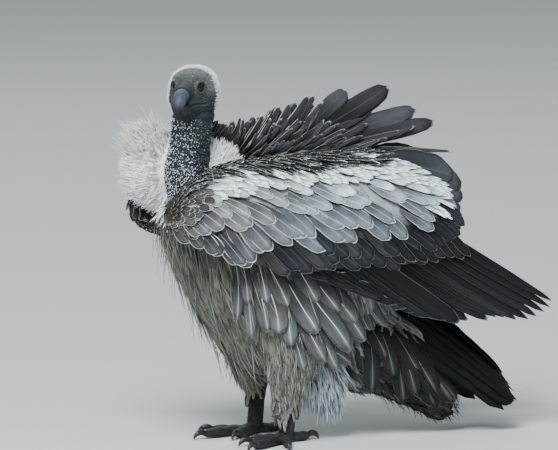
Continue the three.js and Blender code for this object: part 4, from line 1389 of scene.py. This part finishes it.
# CREAM and PALE_RIM lean blue: partly the feathers' own pale colour, partly painted light, the cool cast of
# the sky
CREAM, PALE_RIM, DUSKY_RIM = srgb(0.925, 0.965, 1.0), srgb(0.96, 0.99, 1.0), srgb(0.5, 0.5, 0.53)


def dark_tones(t):
    """Slate, with a weathered brown feather here and there."""
    return np.where(rng.random((len(t), 1)) < 0.18, BROWN, SLATE)


def long_coverts(row):
    """The wing's large coverts, row over row from its lower edge upwards, then its front and rear ends."""
    # the dark rows over the flight feathers
    row([(0.38, -0.02), (0.5, 0.03), (0.62, 0.05), (0.74, 0.04), (0.86, 0.04)], [52, 46, 42, 40],
        [76, 80, 76, 70], [28, 27, 24, 20], 11, dark_tones, DUSKY_RIM, srgb(0.3, 0.3, 0.34), high=8.5,
        rim_width=0.09, web=0.3)
    row([(0.53, 0.13), (0.62, 0.13), (0.74, 0.14), (0.88, 0.18)], [46, 42, 40, 36], [66, 66, 62, 58],
        [27, 26, 22, 19], 9, dark_tones, DUSKY_RIM, srgb(0.32, 0.32, 0.36), high=8.5, rim_width=0.1, web=0.3)
    # a short row under the wrist
    row([(0.15, -0.02), (0.2, 0.01), (0.26, -0.01), (0.32, -0.01)], [54, 52, 50], [38, 54], [19, 25], 6,
        srgb(0.26, 0.245, 0.25), PALE_RIM, srgb(0.5, 0.51, 0.55), high=7.4, tilt=5, web=0.28, stray=0.012)
    # four rows, each paler than the one below it; the paler tones lean blue, partly painted light, the cool
    # cast of the sky
    lilac = (0.36, 0.37, 0.395)
    greater = blend_tones((0.26, 0.25, 0.265), (0.34, 0.33, 0.345), lilac, lilac, lilac)
    row([(0.26, 0.0), (0.31, 0.05), (0.345, 0.17), (0.39, 0.24), (0.43, 0.3), (0.5, 0.24), (0.58, 0.23),
        (0.67, 0.27), (0.77, 0.33), (0.88, 0.43)], [50, 53, 42, 40, 40, 40, 36], [60, 80, 84, 78, 70, 58],
        [24, 29, 30, 29, 26, 20], 13, greater, PALE_RIM, srgb(0.66, 0.68, 0.72), high=8.0, tilt=6, web=0.3,
        stray=0.016, rim_width=0.17)
    row([(0.13, 0.08), (0.18, 0.15), (0.23, 0.27), (0.3, 0.42), (0.39, 0.39), (0.5, 0.42), (0.62, 0.39),
        (0.74, 0.45), (0.86, 0.55)], [56, 46, 42, 34, 38, 38, 36, 28], [26, 46, 68, 74, 72, 68],
        [15, 23, 28, 27, 25, 19], 17, blend_tones((0.32, 0.295, 0.29), (0.4, 0.39, 0.395),
        (0.385, 0.39, 0.415), (0.41, 0.42, 0.445)), PALE_RIM, srgb(0.8, 0.82, 0.86), high=7.8, tilt=5,
        web=0.28, stray=0.026, rim_width=0.18)
    row([(0.09, 0.16), (0.13, 0.28), (0.18, 0.41), (0.25, 0.53), (0.34, 0.6), (0.44, 0.57), (0.54, 0.56),
        (0.65, 0.58), (0.77, 0.64), (0.89, 0.73)], [48, 40, 36, 34, 30, 30, 26, 14],
        [24, 34, 54, 60, 60, 56], [13, 18, 23, 23, 22, 17], 21, blend_tones((0.34, 0.31, 0.295),
        (0.46, 0.445, 0.44), (0.5, 0.515, 0.54), (0.56, 0.58, 0.615)), PALE_RIM, srgb(0.92, 0.93, 0.94),
        high=7.6, rim_width=0.19, web=0.22, stray=0.026)
    row([(0.08, 0.36), (0.12, 0.47), (0.18, 0.58), (0.26, 0.67), (0.36, 0.72), (0.48, 0.7), (0.6, 0.7),
        (0.74, 0.76), (0.86, 0.84), (0.94, 0.9)], [26, 30, 32, 34, 34, 26, 10, -4], [22, 28, 42, 46, 46, 44],
        [10, 13, 17, 17, 16, 12], 29, blend_tones((0.4, 0.37, 0.35), (0.62, 0.61, 0.61), (0.77, 0.8, 0.83),
        (0.83, 0.86, 0.9)), PALE_RIM, PALE_RIM, high=7.4, rim_width=0.2, web=0.18, stray=0.024)
    # the dark rear end, the front edge, and cream streaks at the top of the rear
    row([(0.9, 0.16), (0.95, 0.26), (0.98, 0.38), (1.0, 0.52), (1.0, 0.66)], [42, 38, 32, 24], [50, 44],
        [17, 14], 9, SLATE, DUSKY_RIM, srgb(0.3, 0.3, 0.34), high=5.6, rim_width=0.1, web=0.25)
    row([(0.06, 0.06), (0.08, 0.22), (0.1, 0.38), (0.13, 0.54), (0.18, 0.68)], [52, 40, 28, 20],
        [20, 22, 24, 26], [8, 10, 10, 9], 15, blend_tones((0.22, 0.19, 0.18), (0.34, 0.31, 0.29),
        (0.38, 0.35, 0.34)), PALE_RIM, srgb(0.6, 0.58, 0.56), high=6.8, rim_width=0.2)
    row([(0.87, 0.5), (0.93, 0.62), (0.95, 0.74)], [36, 27, 14], [52, 48], [7, 6], 7, CREAM, PALE_RIM,
        PALE_RIM, high=7.2, shape="raised", columns=5, rim_width=0.35, stray=0.03)


def small_coverts(row):
    """The white patch along the wing's top, the scales at its front edge, and the dark fringe at its top."""
    for k, v in enumerate((0.75, 0.79, 0.83, 0.87)):
        row([(0.24, v - 0.12), (0.3, v - 0.02), (0.39, v), (0.5, v), (0.62, v + 0.01), (0.75, v + 0.06),
            (0.93, v + 0.1)], [6 - 2 * k, 28, 40, 40, 30, 8, -10 - 3 * k], [30, 28, 27, 29, 32],
            [9.5, 9.5, 9, 9, 7.5], 40, CREAM, PALE_RIM, PALE_RIM, high=6.8, columns=5, rows=6, stray=0.018,
            shape="lance" if k > 1 else "raised", ragged=0.04, rim_width=0.3, curl=0.2, web=0.05)
    for v in np.linspace(0.92, 1.0, 3):
        row([(0.58, v - 0.02), (0.7, v), (0.82, v), (0.93, v)], [20, 4, -14, -24], [30, 32], [8, 7], 24,
            CREAM, PALE_RIM, PALE_RIM, high=7.0, columns=5, rows=6, stray=0.018, shape="lance", ragged=0.05,
            rim_width=0.24, curl=0.0, web=0.05)
    for v in np.linspace(0.0, 0.98, 9):
        down = 48 - 50 * v
        reach = 0.05 + 0.15 * v * (1.25 - v) / 0.39
        row([(0.0, v * 0.9), (0.4 * reach, v * 0.95), (0.7 * reach, v), (reach, v + 0.01)],
            [down + 14, down, down * 0.7, down * 0.5], [15, 21, 28], [6, 10, 14], 5 + int(5 * v),
            blend_tones((0.1, 0.085, 0.08), (0.16, 0.14, 0.13), (0.28, 0.26, 0.255)),
            blend_tones((0.5, 0.46, 0.42), (0.8, 0.77, 0.73), (0.93, 0.92, 0.91)), srgb(0.3, 0.28, 0.26),
            high=10.0, rows=7, stray=0.012, rim_width=0.13, ragged=0.03, amount=0.22)
    for k, v in enumerate((0.9, 0.95, 1.0)):
        row([(0.13, v - 0.1), (0.22, v - 0.02), (0.34, v - 0.03), (0.46, v - 0.07), (0.58, v - 0.03),
            (0.7, v + 0.02)], [24, 50, 58, 54, 34, 12], [23, 28, 31, 28], [6.2, 7.0, 7.0, 6.2], 56,
            srgb(0.05, 0.044, 0.042), srgb(0.88, 0.86, 0.83), srgb(0.1, 0.09, 0.085), high=10 + 1.5 * k,
            columns=5, rows=6, stray=0.012, shape="lance", rim_width=0.17, ragged=0.05, amount=0.3,
            curl=-1.5, web=0.25)


def coat_wing(side, word):
    tree = wing_tree(side)
    for name, lay_rows in (("coat_coverts_", long_coverts), ("coat_small_coverts_", small_coverts)):
        coat = Coat()
        lay_rows(partial(wing_row, coat, tree, side))
        coat.build(name + word, FEATHER, "coverts")


# ---------------------------------------------------------------- flight feathers, tail and scapulars
def fan(coat, side, root, tip, count, width, bow, face, tone, rim, shaft, stack=1.0, shape="long", rows=14,
        columns=7, rim_width=0.08, ragged=0.02, on_wing=False, roll=2.5, amount=0.12, bend=0.0, ends=0.5,
        tilt=0.0, web=0.0, lift=0.0, stray=0.0, jitter=0.0, camber=0.14):
    """Long feathers side by side, from a line of roots to a line of tips, each lying over the one before."""
    mirror = np.array([1, -side, 1.0])
    across = (np.arange(count) + ends) / max(count - 1 + 2 * ends, 1)
    start, end = spline(root, across), spline(tip, across)
    end = end - (end - start) * stray * rng.random((count, 1))
    end = end + rng.normal(0, 1.2 * jitter, (count, 3)) * (1, 0.2, 1)
    start = start + rng.normal(0, jitter, (count, 3)) * (1, 0.2, 1)
    t = np.linspace(0, 1, rows)[None, :, None]
    face = unit(np.array(face, float))
    sweep = unit(np.cross(end - start, face))
    line = start[:, None] * (1 - t) + end[:, None] * t + face * (4 * bow * t * (1 - t) + lift)
    line = line + sweep[:, None] * (bend * 4 * t * (1 - t))
    normal = np.broadcast_to(face, line.shape)
    if count > 1:
        normal = unit(np.cross(np.gradient(line, axis=1), np.gradient(line, axis=0)))
        normal = normal * np.sign(dot(normal, face))
    order = (np.arange(count) - (count - 1) / 2)[:, None, None] * stack
    line = line + normal * (order + rng.uniform(-0.15, 0.15, (count, 1, 1)))
    line = line * mirror + (WING_SHIFT[side] if on_wing else 0)
    coat.add(line, normal * mirror, spline(width, across), shape, vary(tone, count, amount, 0.02),
             vary(rim, count, 0.08), vary(shaft, count, 0.08), rim_width, 0.06, columns=columns, thick=0.6,
             ragged=ragged, roll=roll, camber=camber, tilt=-side * tilt, web=-side * web)


OUTWARD = (0, -1, 0.25)
REMEX, REMEX_RIM, REMEX_SHAFT = srgb(0.09, 0.094, 0.105), srgb(0.4, 0.41, 0.44), srgb(0.05, 0.045, 0.045)


def wing_feathers(side, word):
    """The primaries, the secondaries and the short dark feathers over them; then the tertials."""
    coat = Coat()
    fan(coat, side, [(70, -124, 300), (170, -92, 344)], [(268, -86, 164), (322, -75, 167), (356, -68, 160),
        (390, -62, 160), (416, -54, 170), (425, -45, 186)], 10, [25, 23, 19, 16], 6, OUTWARD, REMEX,
        REMEX_RIM, REMEX_SHAFT, stack=0.6, on_wing=True, bend=4, rim_width=0.09, tilt=6, camber=0.04,
        web=0.25, shape="primary", amount=0.25, stray=0.06, lift=-2.5)
    fan(coat, side, [(-70, -126, 290), (60, -130, 312)], [(46, -131, 262), (132, -123, 215),
        (206, -108, 183), (262, -94, 168)], 13, [24, 26, 25], 3, OUTWARD, REMEX, srgb(0.42, 0.43, 0.46),
        REMEX_SHAFT, stack=0.8, on_wing=True, bend=3, tilt=3.5, camber=0.04, web=0.3, amount=0.25,
        stray=0.03, lift=-4.0)
    fan(coat, side, [(104, -128, 315), (154, -118, 318), (204, -106, 318), (232, -98, 314)],
        [(154, -124, 263), (204, -114, 262), (246, -98, 261), (287, -84, 260)], 8, [19, 19, 18, 15], 3,
        OUTWARD, REMEX, srgb(0.62, 0.6, 0.58), srgb(0.2, 0.19, 0.19), stack=0.4, on_wing=True, bend=2,
        rim_width=0.09, tilt=5, web=0.3, amount=0.4, shape="covert", rows=10, lift=-1.5, stray=0.1)
    coat.build("remiges_" + word, FEATHER, "flight", f"primaries_{word}", f"secondaries_{word}")
    coat = Coat()
    fan(coat, side, [(126, -58, 372), (136, -46, 404)], [(262, -66, 296), (272, -58, 330), (276, -50, 358),
        (258, -48, 382)], 5, [40, 46, 52, 48], 7, OUTWARD, srgb(0.2, 0.21, 0.23), srgb(0.56, 0.47, 0.4),
        srgb(0.3, 0.31, 0.34), stack=1.2, on_wing=True, shape="round", rim_width=0.05, bend=-6)
    coat.build("tertials_feathers_" + word, FEATHER, "scapulars", "tertials_" + word)


def tail_feathers():
    coat = Coat()
    fan(coat, LEFT, [(186, -50, 134), (176, 0, 228), (186, 50, 134)], [(338, -60, 30), (364, -52, 36),
        (364, -28, 56), (360, 0, 77), (364, 28, 56), (364, 52, 36), (338, 60, 30)], 12, [34, 38, 40, 38, 34],
        6, (0.62, 0, 0.78), srgb(0.025, 0.025, 0.028), srgb(0.09, 0.09, 0.1), srgb(0.1, 0.1, 0.11),
        stack=0.0, ragged=0.07, rim_width=0.05, tilt=3, stray=0.02)
    coat.build("tail_feathers", FEATHER, "tail", "tail")


# Each group: its roots, its tips, how many feathers, their widths and how far they stand to the near side.
RAISED = [
    ([(50, 30, 440), (48, 30, 426), (50, 30, 420), (56, 30, 420), (62, 28, 418), (62, 28, 412),
      (64, 24, 408)],
     [(128, 35, 499), (200, 41, 502), (172, 38, 474), (242, 42, 467), (271, 38, 447), (235, 32, 443),
      (215, 28, 435)],
     7, [30, 36, 24, 32, 27, 17, 14], 0.0),
    ([(10, 28, 424), (44, 30, 420), (60, 30, 412)],
     [(96, 33, 486), (132, 38, 478), (150, 38, 462), (160, 36, 446)],
     7, [16, 20, 20], 2.0),
    ([(-50, 22, 412), (-14, 26, 410), (26, 28, 408)],
     [(-6, 21, 471), (18, 25, 483), (37, 27, 492), (78, 31, 498), (86, 30, 483)],
     13, [10, 12, 14], 3.0),
    ([(-40, 22, 410), (0, 26, 408), (44, 28, 406)],
     [(0, 20, 458), (34, 27, 466), (66, 31, 462), (110, 30, 462)],
     13, [9, 11, 13], 4.5),
    ([(-98, 32, 436), (-74, 30, 428), (-50, 26, 418), (-30, 22, 410)],
     [(-76, 24, 466), (-54, 24, 463), (-32, 22, 464), (-4, 20, 469)],
     17, [6, 7, 8.5], 0.0),
    ([(-46, 12, 418), (0, 24, 406), (84, 28, 400)],
     [(-18, 12, 444), (42, 26, 449), (118, 32, 450), (186, 34, 434)],
     24, [7, 9, 11, 12], 6.0),
    ([(-38, 10, 408), (20, 20, 400), (90, 24, 396)],
     [(-10, 10, 430), (52, 20, 432), (124, 24, 434), (188, 24, 420)],
     28, [6, 7.5, 9, 10], 8.0),
    ([(-104, 36, 432), (-60, 34, 414), (0, 34, 408), (50, 34, 408)],
     [(-74, 28, 463), (-36, 26, 461), (10, 28, 479), (80, 33, 494)],
     28, [10, 13, 17, 20], -4.0),
]


def raised_scapulars():
    """The shoulder feathers that stand up behind the neck, the first two groups long and wide."""
    coat = Coat()
    face = np.array([-0.25, -0.9, 0.45])
    tone, rim, shaft = srgb(0.17, 0.165, 0.18), srgb(0.66, 0.63, 0.6), srgb(0.26, 0.25, 0.26)
    for k, (root, tip, count, width, out) in enumerate(RAISED):
        large = k < 2
        fan(coat, LEFT, root, tip, count, width, 5, face, tone * (1.4 if large else 0.9),
            rim * (1.0 if k < 5 else 0.45), shaft, stack=-0.3,
            shape=("strip", "covert")[k] if large else "raised", rim_width=0.08 if large else 0.2, rows=10,
            roll=8, amount=0.25, bend=3, ends=0.0, lift=out, web=0.2, stray=0.2 if k else 0.04,
            jitter=0.0 if large else 3.5)
    fan(coat, LEFT, [(120, 28, 416), (121, 28, 416)], [(290, 10, 405), (290, 10, 404)], 1, [7, 7], 3, face,
        tone, srgb(0.74, 0.7, 0.66), shaft, rows=16, columns=5, ragged=0.05, shape="raised", rim_width=0.2)
    coat.build("scapulars_feathers", FEATHER, "scapulars", "scapulars_raised")


FLESH = ["head", "neck", "ruff", "trunk", "vent_down", "undertail"]
FLESH += [f"{part}_{word}" for part in ("wing", "thigh", "shank", "foot") for word in ("left", "right")]
put_on(skin, "body", *FLESH)
for dress in (coat_head, coat_neck, coat_ruff, coat_body, coat_broad, coat_wrists, coat_thighs, coat_vent,
              coat_undertail):
    dress()
for side, word in SIDES:
    coat_wing(side, word)
    wing_feathers(side, word)
tail_feathers()
raised_scapulars()


# ---------------------------------------------------------------- camera, floor and light
AIM = (0, 0, 0.25)  # what the lamps are turned to, in metres


def place_camera():
    """A far camera with a long lens, as wide as the photo at the bird."""
    azimuth, elevation, far = math.radians(-20), math.radians(8), 30.0
    wide = 558 * 0.00145  # the photo's pixels, at 1.45 mm for each
    right = Vector((math.cos(azimuth), math.sin(azimuth), 0))
    back = Vector((math.sin(azimuth) * math.cos(elevation), -math.cos(azimuth) * math.cos(elevation),
                   math.sin(elevation)))
    up = back.cross(right)
    aim_right, aim_up = 10, 309  # where the middle of the photo is on the bird
    target = Vector(to_row(np.array(right) * aim_right + np.array(up) * aim_up))
    camera = bpy.data.cameras.new("camera")
    camera.sensor_width = 36
    camera.lens = camera.sensor_width * far / wide
    camera.clip_end = 200
    obj = bpy.data.objects.new("camera", camera)
    bpy.context.scene.collection.objects.link(obj)
    turn = Matrix([right, up, back]).transposed()
    obj.location = target + back * far
    obj.rotation_euler = turn.to_euler()
    bpy.context.scene.camera = obj


def place_floor():
    size = 70.0  # half the floor's side, in metres
    mesh = new_mesh("floor", [(-size, -size, 0), (size, -size, 0), (size, size, 0), (-size, size, 0)],
                    [(0, 1, 2, 3)])
    floor = new_object("floor", mesh)
    m = Nodes("floor", roughness=0.9, specular=0.1)
    m.colour((0.56, 0.55, 0.53))
    mesh.materials.append(m.material)


def place_light(name, at, size, power):
    light = bpy.data.lights.new(name, "AREA")
    light.color = (0.86, 0.955, 1.0)
    light.size = size
    light.energy = power
    obj = bpy.data.objects.new(name, light)
    bpy.context.scene.collection.objects.link(obj)
    obj.location = at
    obj.rotation_euler = (Vector(AIM) - Vector(at)).to_track_quat("-Z", "Y").to_euler()


def light_scene():
    world = bpy.data.worlds.new("sky")
    world.use_nodes = True
    world.node_tree.nodes["Background"].inputs[0].default_value = (0.77, 0.9, 1.0, 1)
    world.node_tree.nodes["Background"].inputs[1].default_value = 0.38
    bpy.context.scene.world = world
    place_light("key", (-1.8, -2.4, 3.6), 2.0, 440)
    place_light("fill", (2.6, -3.0, 2.0), 1.2, 36)
    place_light("back", (0.6, 3.2, 3.0), 2.5, 70)


place_camera()
place_floor()
light_scene()
